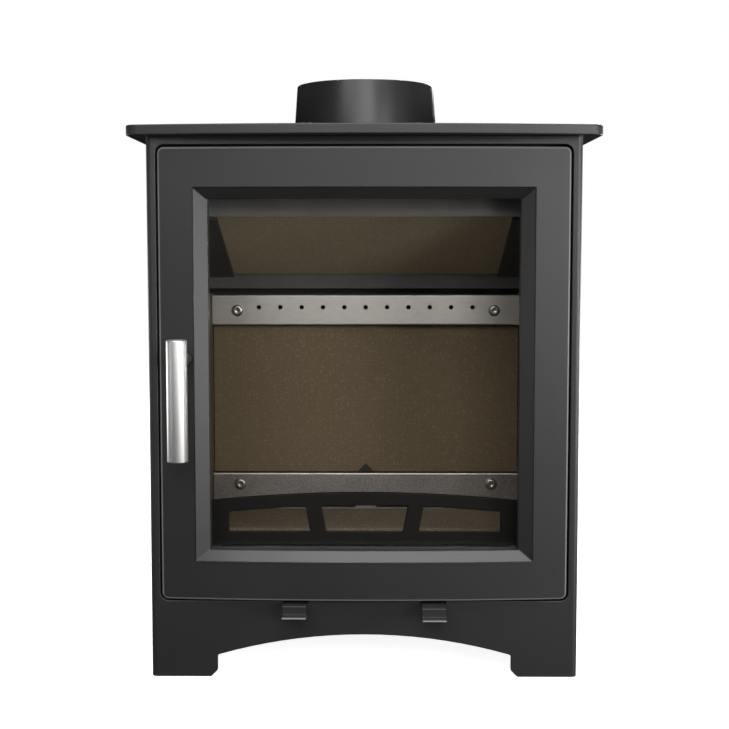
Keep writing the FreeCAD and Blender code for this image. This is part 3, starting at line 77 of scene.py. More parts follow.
# The span inward from an edge over which a finish's ramp runs
EDGE_SPAN = 4 * MM
WHITE = (1, 1, 1, 1)
BLACK = (0, 0, 0, 1)


class StoveSizes(bpy.types.PropertyGroup):
    sheet_edge: FloatProperty(
        name="Sheet edge", description="Rounding of the cut edges of painted sheet",
        default=0.5 * MM, unit="LENGTH", precision=5)
    door_edge: FloatProperty(
        name="Door edge", description="Rounding of the edges of the door and its bevel",
        default=0.7 * MM, unit="LENGTH", precision=5)
    door_corner: FloatProperty(
        name="Door corner", description="Corner radius of the door's outline",
        default=6 * MM, unit="LENGTH", precision=5)
    door_gap: FloatProperty(
        name="Door gap", description="How far outside the door the front plate's opening is looked for",
        default=3.5 * MM, unit="LENGTH", precision=5)
    opening_edge: FloatProperty(
        name="Opening edge", description="Rounding of the front plate round the door",
        default=0.6 * MM, unit="LENGTH", precision=5)
    bar_edge: FloatProperty(
        name="Bar bend", description="Outer bend of the air bars' sheet",
        default=1.2 * MM, unit="LENGTH", precision=5)
    casting_edge: FloatProperty(
        name="Casting edge", description="Rounding of the edges of cast iron",
        default=1.1 * MM, unit="LENGTH", precision=5)
    thin_edge: FloatProperty(
        name="Thin edge", description="Rounding of the edges of thin sheet and fasteners",
        default=0.25 * MM, unit="LENGTH", precision=5)
    brick_edge: FloatProperty(
        name="Brick edge", description="Rounding of the edges of the fire bricks",
        default=1.4 * MM, unit="LENGTH", precision=5)
    brick_wear: FloatProperty(
        name="Brick unevenness", description="How far a brick's face dips under its pressed size",
        default=0.35 * MM, unit="LENGTH", precision=5)
    brick_cuts: IntProperty(
        name="Brick cuts", description="Cuts across a brick's faces that carry its unevenness",
        default=6, min=1)
    glass_edge: FloatProperty(
        name="Glass edge", description="Ground edge of the glass",
        default=0.6 * MM, unit="LENGTH", precision=5)
    collar_bore: FloatProperty(
        name="Collar bore", description="Inside radius of the flue collar",
        default=63.5 * MM, unit="LENGTH", precision=5)
    collar_rim: FloatProperty(
        name="Collar rim", description="Outside radius of the flue collar at its rim",
        default=70.2 * MM, unit="LENGTH", precision=5)
    collar_round: FloatProperty(
        name="Collar rounding", description="Rounding of the collar's rim",
        default=1.6 * MM, unit="LENGTH", precision=5)
    button_height: FloatProperty(
        name="Button height", description="Height of the button heads on the air bars",
        default=3 * MM, unit="LENGTH", precision=5)
    button_crown: FloatProperty(
        name="Button crown", description="Radius of the flat on the button heads",
        default=3.7 * MM, unit="LENGTH", precision=5)
    button_socket: FloatProperty(
        name="Button socket", description="Radius of their hexagon socket, to its corners",
        default=2.5 * MM, unit="LENGTH", precision=5)
    button_shank: FloatProperty(
        name="Button shank", description="Radius of the shank",
        default=2.5 * MM, unit="LENGTH", precision=5)
    button_edge: FloatProperty(
        name="Button edge", description="Rounding of the edges of the button heads and their sockets",
        default=0.12 * MM, unit="LENGTH", precision=5)
    handle_edge: FloatProperty(
        name="Handle edge", description="Rounding of the ends of the handle bar",
        default=1.1 * MM, unit="LENGTH", precision=5)
    rope_width: FloatProperty(
        name="Rope width", description="Width of the door rope",
        default=8 * MM, unit="LENGTH", precision=5)
    rope_corner: FloatProperty(
        name="Rope corner", description="Corner radius of the rope's middle line",
        default=8 * MM, unit="LENGTH", precision=5)
    rope_plait: FloatProperty(
        name="Rope plait", description="Length of one crossing of the rope's strands",
        default=6.4 * MM, unit="LENGTH", precision=5)
    rope_step: FloatProperty(
        name="Rope step", description="Distance between the rope's rings",
        default=1.05 * MM, unit="LENGTH", precision=5)
    turned_steps: IntProperty(
        name="Turned steps", description="Corners round a turned piece", default=144, min=12)


class StoveColours(bpy.types.PropertyGroup):
    paint: FloatVectorProperty(
        name="Paint", description="Satin stove paint", subtype="COLOR", default=(0.013, 0.013, 0.0135))
    # Painted highlight: a paler paint along the rounded rims of the door and the slides' tabs, standing in
    # for light on them
    painted_highlight: FloatVectorProperty(
        name="Painted edge highlight", description="Paler paint along rounded edges, a painted highlight",
        subtype="COLOR", default=(0.26, 0.26, 0.26))
    # Painted light: the airwash strip's paint is far paler than the door's, standing in for the light and
    # sheen on it
    wash_painted_light: FloatVectorProperty(
        name="Airwash strip", description="Paint of the airwash strip, paler as painted light",
        subtype="COLOR", default=(0.115, 0.115, 0.12))
    iron: FloatVectorProperty(
        name="Cast iron", description="Matt black cast iron", subtype="COLOR",
        default=(0.006, 0.006, 0.0065))
    # Painted sheen: a paler paint on the ledge and the baffle's rails, in place of the reflection on them
    steel_painted_sheen: FloatVectorProperty(
        name="Pale steel", description="Paint on the ledge and the baffle's rails, paler as a painted sheen",
        subtype="COLOR", default=(0.075, 0.075, 0.078))
    dark_steel: FloatVectorProperty(
        name="Dark steel", description="Heat-darkened painted steel", subtype="COLOR",
        default=(0.022, 0.022, 0.0215))
    stainless: FloatVectorProperty(
        name="Stainless steel", description="Brushed stainless steel", subtype="COLOR",
        default=(0.6, 0.595, 0.59))
    polished: FloatVectorProperty(
        name="Handle steel", description="Finely brushed steel of the handle", subtype="COLOR",
        default=(0.619, 0.612, 0.605))
    blasted: FloatVectorProperty(
        name="Blasted steel", description="Sandblasted stainless steel", subtype="COLOR",
        default=(0.3, 0.285, 0.28))
    zinc: FloatVectorProperty(
        name="Zinc", description="Zinc plate", subtype="COLOR", default=(0.5, 0.5, 0.49))
    brick: FloatVectorProperty(
        name="Brick", description="Pressed vermiculite", subtype="COLOR", default=(0.19, 0.15, 0.1))
    # Painted light: the baffle's vermiculite is far paler than the bricks, standing in for the light that
    # falls on it
    baffle: FloatVectorProperty(
        name="Baffle", description="Vermiculite of the baffle board, paler than the bricks",
        subtype="COLOR", default=(0.5, 0.42, 0.31))
    ash: FloatVectorProperty(
        name="Ash", description="Vermiculite of the bed, dusted with ash", subtype="COLOR",
        default=(0.3, 0.256, 0.194))
    brick_dark: FloatVectorProperty(
        name="Brick grain", description="Dark flakes of the vermiculite", subtype="COLOR",
        default=(0.12, 0.09, 0.058))
    rope: FloatVectorProperty(
        name="Rope", description="Black glass fibre", subtype="COLOR", default=(0.05, 0.05, 0.05))
    glass: FloatVectorProperty(
        name="Glass", description="Tint of one face of the glass", subtype="COLOR",
        default=(0.97, 0.96, 0.94))


class StudioSizes(bpy.types.PropertyGroup):
    lens: FloatProperty(name="Lens", description="Focal length in millimetres", default=67.4)
    sensor: FloatProperty(name="Sensor", description="Sensor width in millimetres", default=36)
    camera_place: FloatVectorProperty(
        name="Camera", description="Where the camera stands", subtype="TRANSLATION",
        default=(0.0096, -1.390875, 0.4026))
    camera_down: FloatProperty(
        name="Tilt", description="How far the camera looks down", subtype="ANGLE",
        default=math.radians(4.79))
    camera_left: FloatProperty(
        name="Turn", description="How far the camera is turned to the left", subtype="ANGLE",
        default=math.radians(0.42))
    floor_side: FloatProperty(
        name="Floor", description="Side of the floor", default=16, unit="LENGTH")
    ambient: FloatProperty(
        name="Ambient", description="How bright the room is to a matt surface", default=0.07)
    floor_lift: FloatProperty(
        name="Floor lift", description="What the floor adds to its own white for the camera", default=0.86)
    floor_clear: FloatProperty(
        name="Clear floor", description="Distance at which the floor is as white as the room",
        default=1.6, unit="LENGTH")
    card_tone: FloatProperty(
        name="Card tone", description="How grey the cards round the stove are in its reflections",
        default=0.015)


def sizes():
    return bpy.context.scene.stove_sizes


class Signal:
    """One output of a node. Python's arithmetic on it adds Math nodes."""

    def __init__(self, tree, socket):
        self.tree = tree
        self.socket = socket

    def maths(self, operation, first, second=0):
        return self.tree.node("Math", {"operation": operation}, {0: first, 1: second})

    def __add__(self, other):
        return self.maths("ADD", self, other)

    def __radd__(self, other):
        return self.maths("ADD", other, self)

    def __sub__(self, other):
        return self.maths("SUBTRACT", self, other)

    def __rsub__(self, other):
        return self.maths("SUBTRACT", other, self)

    def __mul__(self, other):
        return self.maths("MULTIPLY", self, other)

    def __rmul__(self, other):
        return self.maths("MULTIPLY", other, self)

    def __pow__(self, other):
        return self.maths("POWER", self, other)

    def sine(self):
        return self.maths("SINE", self)

    def size(self):
        return self.maths("ABSOLUTE", self)

    def at_least(self, other):
        return self.maths("MAXIMUM", self, other)

    def limited(self):
        return self.tree.node("Clamp", {}, {"Value": self})


class Tree:
    """A node tree whose nodes are all added by one method."""

    def __init__(self, node_tree):
        self.node_tree = node_tree

    def node(self, kind, settings, inputs, output=0):
        """Adds a node: its settings first, then the values or links of its sockets."""
        made = self.node_tree.nodes.new("ShaderNode" + kind)
        for key, value in settings.items():
            if key == "stops":
                self.set_stops(made.color_ramp, value)
            else:
                setattr(made, key, value)
        for key, value in inputs.items():
            if isinstance(value, Signal):
                self.node_tree.links.new(value.socket, made.inputs[key])
            else:
                made.inputs[key].default_value = value
        return Signal(self, made.outputs[output])

    def set_stops(self, ramp, stops):
        while len(ramp.elements) < len(stops):
            ramp.elements.new(1)
        for element, (position, value) in zip(ramp.elements, stops):
            element.position = position
            element.color = (value, value, value, 1)

    def ramp(self, signal, *stops):
        return self.node("ValToRGB", {"stops": stops}, {"Fac": signal})

    def mixed(self, first, second, share):
        """The first colour at a share of 0 and the second at 1."""
        colours = {0: share, 6: first, 7: second}
        return self.node("Mix", {"data_type": "RGBA", "clamp_factor": True}, colours, output=2)


class Finish(Tree):
    """A material with a Principled shader whose patterns follow the object's own metres."""

    def __init__(self, name, constants):
        self.material = bpy.data.materials.new(name)
        self.material.use_nodes = True
        super().__init__(self.material.node_tree)
        self.shader = self.node_tree.nodes["Principled BSDF"]
        self.place = self.node("TexCoord", {}, {}, output="Object")
        for socket, value in constants.items():
            self.shader.inputs[socket].default_value = value

    def feed(self, socket, signal):
        self.node_tree.links.new(signal.socket, self.shader.inputs[socket])

    def spread(self, size, stretch):
        """The object's place, scaled so that one unit is a pattern's size along each axis."""
        scale = [1 / (size * share) for share in stretch]
        return self.node("VectorMath", {"operation": "MULTIPLY"}, {0: self.place, 1: scale})

    def grain(self, size, detail=2.0, roughness=0.5, stretch=(1, 1, 1)):
        """Noise from 0 to 1 whose features have a size in metres."""
        inputs = {"Vector": self.spread(size, stretch), "Scale": 1, "Detail": detail,
                  "Roughness": roughness}
        return self.node("TexNoise", {}, inputs)

    def flakes(self, size, output="Color"):
        """Cells of a size in metres: a tone for each, or the distance from its middle."""
        return self.node("TexVoronoi", {}, {"Vector": self.spread(size, (1, 1, 1)), "Scale": 1},
                         output=output)

    def axes(self):
        """The object's X, Y and Z as three signals."""
        return [self.node("SeparateXYZ", {}, {"Vector": self.place}, output=axis) for axis in range(3)]

    def shade(self, colour, low, high, share):
        """From low to high times a colour."""
        darker = [channel * low for channel in colour] + [1]
        lighter = [min(1, channel * high) for channel in colour] + [1]
        return self.mixed(darker, lighter, share)

    def tone(self, colour, low, high, share):
        self.feed("Base Color", self.shade(colour, low, high, share))

    def bump(self, height, depth):
        """A relief of a depth in metres."""
        relief = {"Height": height, "Distance": depth, "Strength": 1}
        self.feed("Normal", self.node("Bump", {}, relief))


def satin_paint(colours, name="satin_stove_paint", painted_highlight=None):
    """Heat-resistant satin paint: a fine sprayed grain over sheet that isn't quite flat.

    Where its highlight function, which gives 0 to 1, is high, the paint is paler: a painted highlight.
    """
    finish = Finish(name, {"Specular IOR Level": 0.5})
    drift = finish.grain(0.13, detail=2)
    speck = finish.grain(2.6 * MM, detail=2)
    spray = finish.grain(0.7 * MM, detail=3)
    coat = finish.shade(colours.paint, 0.82, 1.2, drift * 0.5 + speck * 0.5)
    # Painted highlight: a paler paint mixed in where the mask picks an edge
    if painted_highlight:
        highlight_tone = finish.shade(colours.painted_highlight, 0.8, 1.2, spray)
        coat = finish.mixed(coat, highlight_tone, painted_highlight(finish))
    finish.feed("Base Color", coat)
    finish.feed("Roughness", 0.35 + drift * 0.07 + spray * 0.08)
    finish.bump(spray * 0.6 + speck * 0.4, 0.028 * MM)
    return finish.material


def door_paint(colours):
    """The same paint on the door, paler along the round of its rim: a painted highlight."""
    low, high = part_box("door_frame")
    middle, half = (low + high) / 2, (high - low) / 2
    corner = sizes().door_corner

    def rim(finish):
        across, _, up = finish.axes()
        beside = ((across - middle.x).size() - (half.x - corner)).at_least(0)
        above = ((up - middle.z).size() - (half.z - corner)).at_least(0)
        inside = corner - (beside * beside + above * above) ** 0.5
        # Painted highlight: strongest on the rim's round, fading within the edge span
        return finish.ramp(inside * (1 / EDGE_SPAN), (0.25, 1), (0.5, 0)) * 0.6

    return satin_paint(colours, "satin_door_paint", rim)


def tab_paint(colours):
    """The same paint on the air slides, paler along the lower edge of their tabs: a painted highlight."""
    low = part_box("right_air_slide")[0]
    tab_depth = 20 * MM

    def lip(finish):
        _, back, up = finish.axes()
        # Painted highlight along the tab's lower edge, on the tab only
        edge = finish.ramp((up - low.z) * (1 / EDGE_SPAN), (0.25, 1), (0.4, 0))
        return edge * finish.ramp((back - low.y) * (1 / tab_depth), (0.9, 1), (1, 0))

    return satin_paint(colours, "satin_tab_paint", lip)


def collar_paint(colours):
    """The same paint on a machined casting: glossier, with a trace of the casting's skin."""
    finish = Finish("satin_paint_on_casting", {"Specular IOR Level": 0.5})
    drift = finish.grain(0.05, detail=2)
    skin = finish.grain(1.6 * MM, detail=3, roughness=0.6)
    finish.tone(colours.paint, 0.8, 1.2, drift * 0.5 + skin * 0.5)
    finish.feed("Roughness", 0.27 + drift * 0.06 + skin * 0.07)
    finish.bump(skin, 0.05 * MM)
    return finish.material


def cast_iron(colours):
    """Matt black iron from a sand mould: grains, shallow pits and a smoother skin between."""
    finish = Finish("matt_cast_iron", {"Specular IOR Level": 0.2})
    drift = finish.grain(0.03, detail=2)
    sand = finish.grain(1.1 * MM, detail=4, roughness=0.65)
    pits = finish.ramp(finish.flakes(2.4 * MM, output="Distance"), (0.05, 0), (0.3, 1))
    finish.tone(colours.iron, 0.7, 1.45, sand * 0.6 + drift * 0.4)
    finish.feed("Roughness", 0.5 + sand * 0.22 - drift * 0.08)
    finish.bump(sand * 0.75 + pits * 0.25, 0.16 * MM)
    return finish.material


def heated_steel(name, colour):
    """Painted sheet inside the firebox, dulled and clouded by heat."""
    finish = Finish(name, {"Specular IOR Level": 0.4})
    cloud = finish.grain(0.035, detail=4, roughness=0.6)
    scale = finish.grain(0.9 * MM, detail=3)
    finish.tone(colour, 0.75, 1.35, cloud * 0.7 + scale * 0.3)
    finish.feed("Roughness", 0.46 + cloud * 0.14 + scale * 0.08)
    finish.bump(scale, 0.04 * MM)
    return finish.material


def dark_steel(colours):
    return heated_steel("heat_darkened_steel", colours.dark_steel)


# Painted sheen: the ledge and the baffle's rails get a paler paint in place of the reflection on them
def steel_painted_sheen(colours):
    return heated_steel("painted_sheen_steel", colours.steel_painted_sheen)


# Painted light: the airwash strip gets a paler paint in place of the light on it
def wash_steel_painted_light(colours):
    return heated_steel("airwash_steel", colours.wash_painted_light)


def brushed_steel(name, colour, brushed, roughness, depth, contrast):
    """Stainless steel with brush lines along the axes whose share in brushed is long."""
    finish = Finish(name, {"Metallic": 1})
    lines = finish.grain(0.35 * MM, detail=3, roughness=0.7, stretch=brushed)
    streaks = finish.grain(2.2 * MM, detail=2, stretch=brushed)
    drift = finish.grain(0.05, detail=2)
    finish.tone(colour, 1 - contrast, 1 + contrast, lines * 0.5 + streaks * 0.3 + drift * 0.2)
    finish.feed("Roughness", roughness + lines * 0.12 + streaks * 0.06)
    finish.bump(lines * 0.7 + streaks * 0.3, depth)
    return finish.material


def bar_steel(colours):
    return brushed_steel("brushed_bar_steel", colours.stainless, (4, 1, 1), 0.3, 0.014 * MM, 0.34)


def handle_steel(colours):
    return brushed_steel("brushed_handle_steel", colours.polished, (60, 60, 1), 0.37, 0.002 * MM, 0.04)


def blasted_steel(colours):
    """Stainless steel dulled by a blast of grit, with a painted highlight along its top fold and painted
    shade, black, on the faces behind its front face.
    """
    finish = Finish("grit_blasted_steel", {"Metallic": 1})
    dents = finish.flakes(0.9 * MM, output="Distance")
    grit = finish.grain(1.5 * MM, detail=3, roughness=0.75)
    drift = finish.grain(0.04, detail=3)
    share = finish.ramp(grit * 0.7 + dents * 0.15 + drift * 0.15, (0.38, 0), (0.62, 1))
    low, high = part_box("lower_air_bar")
    _, back, up = finish.axes()
    # Painted shade: black on the faces behind the front face. Painted highlight: near white along the top
    # fold.
    behind = finish.ramp((back - low.y) * (1 / EDGE_SPAN), (0.2, 0), (0.4, 1))
    fold_highlight = finish.ramp((high.z - up) * (1 / EDGE_SPAN), (0.3, 1), (0.4, 0))
    painted_shade, bright = (0.01, 0.01, 0.01, 1), (0.95, 0.93, 0.9, 1)
    blasted = finish.mixed(finish.shade(colours.blasted, 0.7, 1.3, share), bright, fold_highlight)
    finish.feed("Base Color", finish.mixed(blasted, painted_shade, behind))
    finish.feed("Roughness", 0.42 + grit * 0.16)
    finish.bump(grit * 0.5 + dents * 0.5, 0.06 * MM)
    return finish.material


def zinc_plate(colours):
    """Bright zinc plate with faint clouds and tool marks."""
    finish = Finish("zinc_plate", {"Metallic": 1})
    cloud = finish.grain(3.5 * MM, detail=3)
    marks = finish.grain(0.5 * MM, detail=2)
    finish.tone(colours.zinc, 0.75, 1.2, cloud * 0.6 + marks * 0.4)
    finish.feed("Roughness", 0.3 + cloud * 0.14 + marks * 0.06)
    finish.bump(marks, 0.012 * MM)
    return finish.material


def plain_steel(colours):
    """Machined steel of the screws that hold the air bars."""
    finish = Finish("plain_screw_steel", {"Metallic": 1})
    cloud = finish.grain(2.5 * MM, detail=3)
    rings = finish.grain(0.3 * MM, detail=2)
    finish.tone(colours.zinc, 0.9, 1.3, cloud * 0.7 + rings * 0.3)
    finish.feed("Roughness", 0.27 + cloud * 0.1)
    finish.bump(rings, 0.01 * MM)
    return finish.material


def vermiculite(name, colour, dark, printed=0.42, crumb=0.8 * MM):
    """Pressed vermiculite board: the canvas print of its mould, flakes and loose grain."""
    finish = Finish(name, {"Specular IOR Level": 0.25, "Roughness": 0.9})
    pitch = math.tau / (2.7 * MM)
    weave = [(axis * pitch).sine() for axis in finish.axes()]
    canvas = (weave[0] + weave[1] + weave[2]) * 0.25 + 0.5
    drift = finish.grain(0.07, detail=3)
    crumbs = finish.grain(crumb, detail=4, roughness=0.65)
    flakes = finish.flakes(1.5 * MM)
    glint = finish.ramp(flakes, (0.78, 0), (0.86, 1))
    share = canvas * printed + crumbs * (0.84 - printed) + drift * 0.22 + flakes * 0.16 - 0.12
    body = finish.mixed([*dark, 1], [*colour, 1], share)
    pale = [min(1, channel * 1.35) for channel in colour] + [1]
    finish.feed("Base Color", finish.mixed(body, pale, glint * 0.35))
    finish.feed("Roughness", 0.93 - glint * 0.3 - crumbs * 0.08)
    finish.bump(canvas * 0.35 + crumbs * 0.45 + flakes * 0.2, 0.07 * MM)
    return finish.material


def fire_brick(colours):
    return vermiculite("pressed_vermiculite", colours.brick, colours.brick_dark)


# Painted light: a paler vermiculite in place of the light on the baffle
def baffle_board(colours):
    dark = [channel * 0.68 for channel in colours.baffle]
    return vermiculite("pale_vermiculite", colours.baffle, dark)


def ash_bed(colours):
    """The bed brick, grey with ash."""
    dark = [channel * 0.3 for channel in colours.ash]
    return vermiculite("ash_dusted_vermiculite", colours.ash, dark, 0.08, 1.6 * MM)


def glass_fibre(colours):
    """Braided glass fibre: dull yarn with finer and paler fibres on it."""
    finish = Finish("black_glass_fibre", {"Specular IOR Level": 0.3, "Sheen Weight": 0.35})
    yarn = finish.grain(1.4 * MM, detail=3)
    fibres = finish.grain(0.25 * MM, detail=3, roughness=0.7, stretch=(1, 1, 1.8))
    finish.tone(colours.rope, 0.6, 2.1, fibres * 0.6 + yarn * 0.4)
    finish.feed("Roughness", 0.7 + fibres * 0.2)
    finish.bump(fibres * 0.6 + yarn * 0.4, 0.09 * MM)
    return finish.material


def stove_glass(colours):
    """Amber heat-resistant glass, seen straight through, with faint wiping marks."""
    finish = Finish("amber_stove_glass", {})
    tree = finish.node_tree
    wiped = finish.grain(0.02, detail=4, stretch=(1, 1, 3))
    mirror = finish.node("Fresnel", {}, {"IOR": 1.3})
    clear = finish.node("BsdfTransparent", {}, {"Color": (*colours.glass, 1)})
    gloss = finish.node("BsdfGlossy", {}, {"Color": WHITE, "Roughness": 0.06})
    share = mirror * 0.6 + finish.ramp(wiped, (0.5, 0), (0.8, 1)) * 0.003
    surface = finish.node("MixShader", {}, {0: share, 1: clear, 2: gloss})
    tree.nodes.remove(finish.shader)
    tree.links.new(surface.socket, tree.nodes["Material Output"].inputs["Surface"])
    return finish.material


RECIPES = {
    "paint": satin_paint,
    "door_paint": door_paint,
    "tab_paint": tab_paint,
    "collar_paint": collar_paint,
    "iron": cast_iron,
    "dark_steel": dark_steel,
    "steel_painted_sheen": steel_painted_sheen,
    "wash_steel_painted_light": wash_steel_painted_light,
    "bar_steel": bar_steel,
    "blasted_steel": blasted_steel,
    "handle_steel": handle_steel,
    "zinc": zinc_plate,
    "screw_steel": plain_steel,
    "brick": fire_brick,
    "baffle": baffle_board,
    "ash": ash_bed,
    "rope": glass_fibre,
    "glass": stove_glass,
}
made_finishes = {}


def finish(name):
    """The material of a name, made once."""
    if name not in made_finishes:
        made_finishes[name] = RECIPES[name](bpy.context.scene.stove_colours)
    return made_finishes[name]


def choose(piece):
    """Leaves edit mode and selects one piece alone, or nothing."""
    if bpy.context.mode != "OBJECT":
        bpy.ops.object.mode_set(mode="OBJECT")
    bpy.ops.object.select_all(action="DESELECT")
    if piece:
        piece.select_set(True)
        bpy.context.view_layer.objects.active = piece


def edit(piece):
    """Opens a piece in edit mode with all of it selected."""
    choose(piece)
    bpy.ops.object.mode_set(mode="EDIT")
    bpy.ops.mesh.select_all(action="SELECT")


def apply(piece, kind, settings):
    """Adds a modifier with its settings and applies it."""
    choose(piece)
    modifier = piece.modifiers.new(kind.lower(), kind)
    for key, value in settings.items():
        setattr(modifier, key, value)
    bpy.ops.object.modifier_apply(modifier=modifier.name)


def settle(piece, name, finish_name, *nodes):
    """Puts a finished piece in place of its CAD nodes, on the body that they ride."""
    choose(piece)
    bpy.ops.object.transform_apply(location=True, rotation=True, scale=True)
    piece.name = name
    piece.data.name = name
    piece.data.materials.clear()
    piece.data.materials.append(finish(finish_name))
    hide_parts(*nodes)
    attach(piece, BODY_OF[nodes[0]])


def soften(piece, width, chosen):
    """Gives the sharp edges that a test picks by their middle a wider round."""
    edit(piece)
    bpy.ops.mesh.select_mode(type="EDGE")
    bpy.ops.mesh.select_all(action="DESELECT")
    mesh = bmesh.from_edit_mesh(piece.data)
    for edge in mesh.edges:
        middle = (edge.verts[0].co + edge.verts[1].co) / 2
        sharp = len(edge.link_faces) == 2 and edge.calc_face_angle() > SHARP
        edge.select_set(sharp and chosen(middle))
    mesh.select_flush_mode()
    bmesh.update_edit_mesh(piece.data)
    bpy.ops.mesh.bevel(offset=width, segments=4, affect="EDGES", clamp_overlap=False)


def ease(node, width, finish_name, wide=()):
    """A welded copy of a CAD node with its sharp edges rounded, as a file or paint leaves them.

    Each pair in wide is a larger round and the test for the edges that get it.
    """
    piece = bpy.data.objects.new(node, frame["nodes"][node].data.copy())
    bpy.context.scene.collection.objects.link(piece)
    edit(piece)
    bpy.ops.mesh.customdata_custom_splitnormals_clear()
    bpy.ops.mesh.remove_doubles(threshold=CAD_WELD)
    bpy.ops.mesh.dissolve_limited(angle_limit=FLAT)
    for round_width, chosen in wide:
        soften(piece, round_width, chosen)
    apply(piece, "BEVEL", {"width": width, "segments": 3, "limit_method": "ANGLE",
                           "angle_limit": EASED, "use_clamp_overlap": False})
    choose(piece)
    bpy.ops.object.shade_smooth()
    apply(piece, "WEIGHTED_NORMAL", {"weight": 80, "keep_sharp": False})
    settle(piece, "eased_" + node, finish_name, node)


def block(low, high):
    """A box between two corners."""
    choose(None)
    bpy.ops.mesh.primitive_cube_add(size=1, location=(low + high) / 2)
    piece = bpy.context.object
    piece.scale = high - low
    bpy.ops.object.transform_apply(location=True, rotation=True, scale=True)
    return piece


def turned(rings, axis_place, closed):
    """A turned piece: rings of (radius, height) round an upright axis.

    It is hollow and its last ring meets the first where it is closed, and capped otherwise.
    """
    choose(None)
    radius, height = rings[0]
    middle = Vector((axis_place[0], axis_place[1], height))
    bpy.ops.mesh.primitive_circle_add(
        vertices=sizes().turned_steps, radius=radius, location=middle,
        fill_type="NOTHING" if closed else "NGON")
    piece = bpy.context.object
    edit(piece)
    for next_radius, next_height in rings[1:]:
        rise = (0, 0, next_height - height)
        bpy.ops.mesh.extrude_region_move(TRANSFORM_OT_translate={"value": rise})
        share = next_radius / radius
        bpy.ops.transform.resize(value=(share, share, 1),
                                 center_override=(middle.x, middle.y, next_height))
        radius, height = next_radius, next_height
    bpy.ops.mesh.select_all(action="SELECT")
    bpy.ops.mesh.remove_doubles(threshold=TURNED_WELD)
    bpy.ops.mesh.normals_make_consistent(inside=False)
    choose(piece)
    bpy.ops.object.shade_smooth_by_angle(angle=SMOOTH)
    return piece


def quarter(radius, start):
    """Points (across, up) of a quarter round of a radius, from the start angle on."""
    steps = 5
    angles = [start + math.pi / 2 * step / steps for step in range(steps + 1)]
    return [(radius * math.cos(angle), radius * math.sin(angle)) for angle in angles]


class STOVE_OT_body_shell(bpy.types.Operator):
    """Front, sides, back, top, blanked outlet, door seat and hinge arms of the body"""
    bl_idname = "stove.body_shell"
    bl_label = "Body shell"

    def execute(self, context):
        for node in ("left_side_panel", "right_side_panel", "back_panel", "rear_outlet_plate",
                     "door_seat_frame", "hinge_arms"):
            ease(node, sizes().sheet_edge, "paint")
        low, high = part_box("door_frame")
        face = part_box("front_plate")[0].y + sizes().sheet_edge
        near = sizes().door_gap

        def opening(middle):
            beside = low.x - near < middle.x < high.x + near
            return beside and low.z - near < middle.z < high.z + near and middle.y < face

        ease("front_plate", sizes().sheet_edge, "paint", wide=[(sizes().opening_edge, opening)])
        frame["nodes"]["top_plate"].material_slots[0].material = finish("paint")
        return {"FINISHED"}


class STOVE_OT_flue_collar(bpy.types.Operator):
    """Tapered flue collar with a rounded rim, and the screws of the collar and the rear outlet"""
    bl_idname = "stove.flue_collar"
    bl_label = "Flue collar"

    def execute(self, context):
        low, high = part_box("flue_collar")
        foot = (high.x - low.x) / 2
        bore, rim, edge = sizes().collar_bore, sizes().collar_rim, sizes().collar_round
        outer_rim = [(rim - edge + across, high.z - edge + up) for across, up in quarter(edge, 0)]
        inner_rim = [(bore + edge + across, high.z - edge + up)
                     for across, up in quarter(edge, math.pi / 2)]
        rings = [(foot, low.z), *outer_rim, *inner_rim, (bore, low.z), (foot, low.z)]
        piece = turned(rings, (low + high) / 2, closed=True)
        settle(piece, "turned_flue_collar", "collar_paint", "flue_collar")
        ease("collar_screws", sizes().thin_edge, "zinc")
        ease("rear_outlet_screws", sizes().thin_edge, "dark_steel")
        return {"FINISHED"}


class STOVE_OT_firebox_steel(bpy.types.Operator):
    """Steel in the stove: floor, air path, grate carrier, pan, keeper, brick tab, ledge, strip, rails"""
    bl_idname = "stove.firebox_steel"
    bl_label = "Firebox steel"

    def execute(self, context):
        for node in ("firebox_floor", "air_box", "slide_guides", "rear_air_plate", "grate_carrier",
                     "ash_pan", "ash_pan_handle", "latch_keeper", "brick_tab"):
            ease(node, sizes().thin_edge, "dark_steel")
        for node in ("rear_ledge", "baffle_rails"):
            ease(node, sizes().thin_edge, "steel_painted_sheen")
        ease("airwash_strip", sizes().thin_edge, "wash_steel_painted_light")
        return {"FINISHED"}


class STOVE_OT_castings(bpy.types.Operator):
    """Cast grate and fuel retainer"""
    bl_idname = "stove.castings"
    bl_label = "Castings"

    def execute(self, context):
        for node in ("grate", "fuel_retainer"):
            ease(node, sizes().casting_edge, "iron")
        return {"FINISHED"}


class STOVE_OT_fire_bricks(bpy.types.Operator):
    """Side, rear and bed bricks and the baffle board"""
    bl_idname = "stove.fire_bricks"
    bl_label = "Fire bricks"

    def execute(self, context):
        dips = bpy.data.textures.new("brick_dips", "CLOUDS")
        dips.noise_scale = 9 * MM
        dips.noise_depth = 2
        for node in ("left_brick", "right_brick", "bed_brick"):
            piece = block(*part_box(node))
            edit(piece)
            bpy.ops.mesh.bevel(offset=sizes().brick_edge, segments=3, affect="EDGES")
            bpy.ops.mesh.select_all(action="SELECT")
            bpy.ops.mesh.subdivide(number_cuts=sizes().brick_cuts)
            apply(piece, "DISPLACE", {"texture": dips, "texture_coords": "LOCAL",
                                      "strength": sizes().brick_wear, "mid_level": 1})
            choose(piece)
            bpy.ops.object.shade_smooth_by_angle(angle=SMOOTH)
            settle(piece, "pressed_" + node, "ash" if node == "bed_brick" else "brick", node)
        ease("rear_brick", sizes().brick_edge, "brick")
        ease("baffle_board", sizes().brick_edge, "baffle")
        return {"FINISHED"}


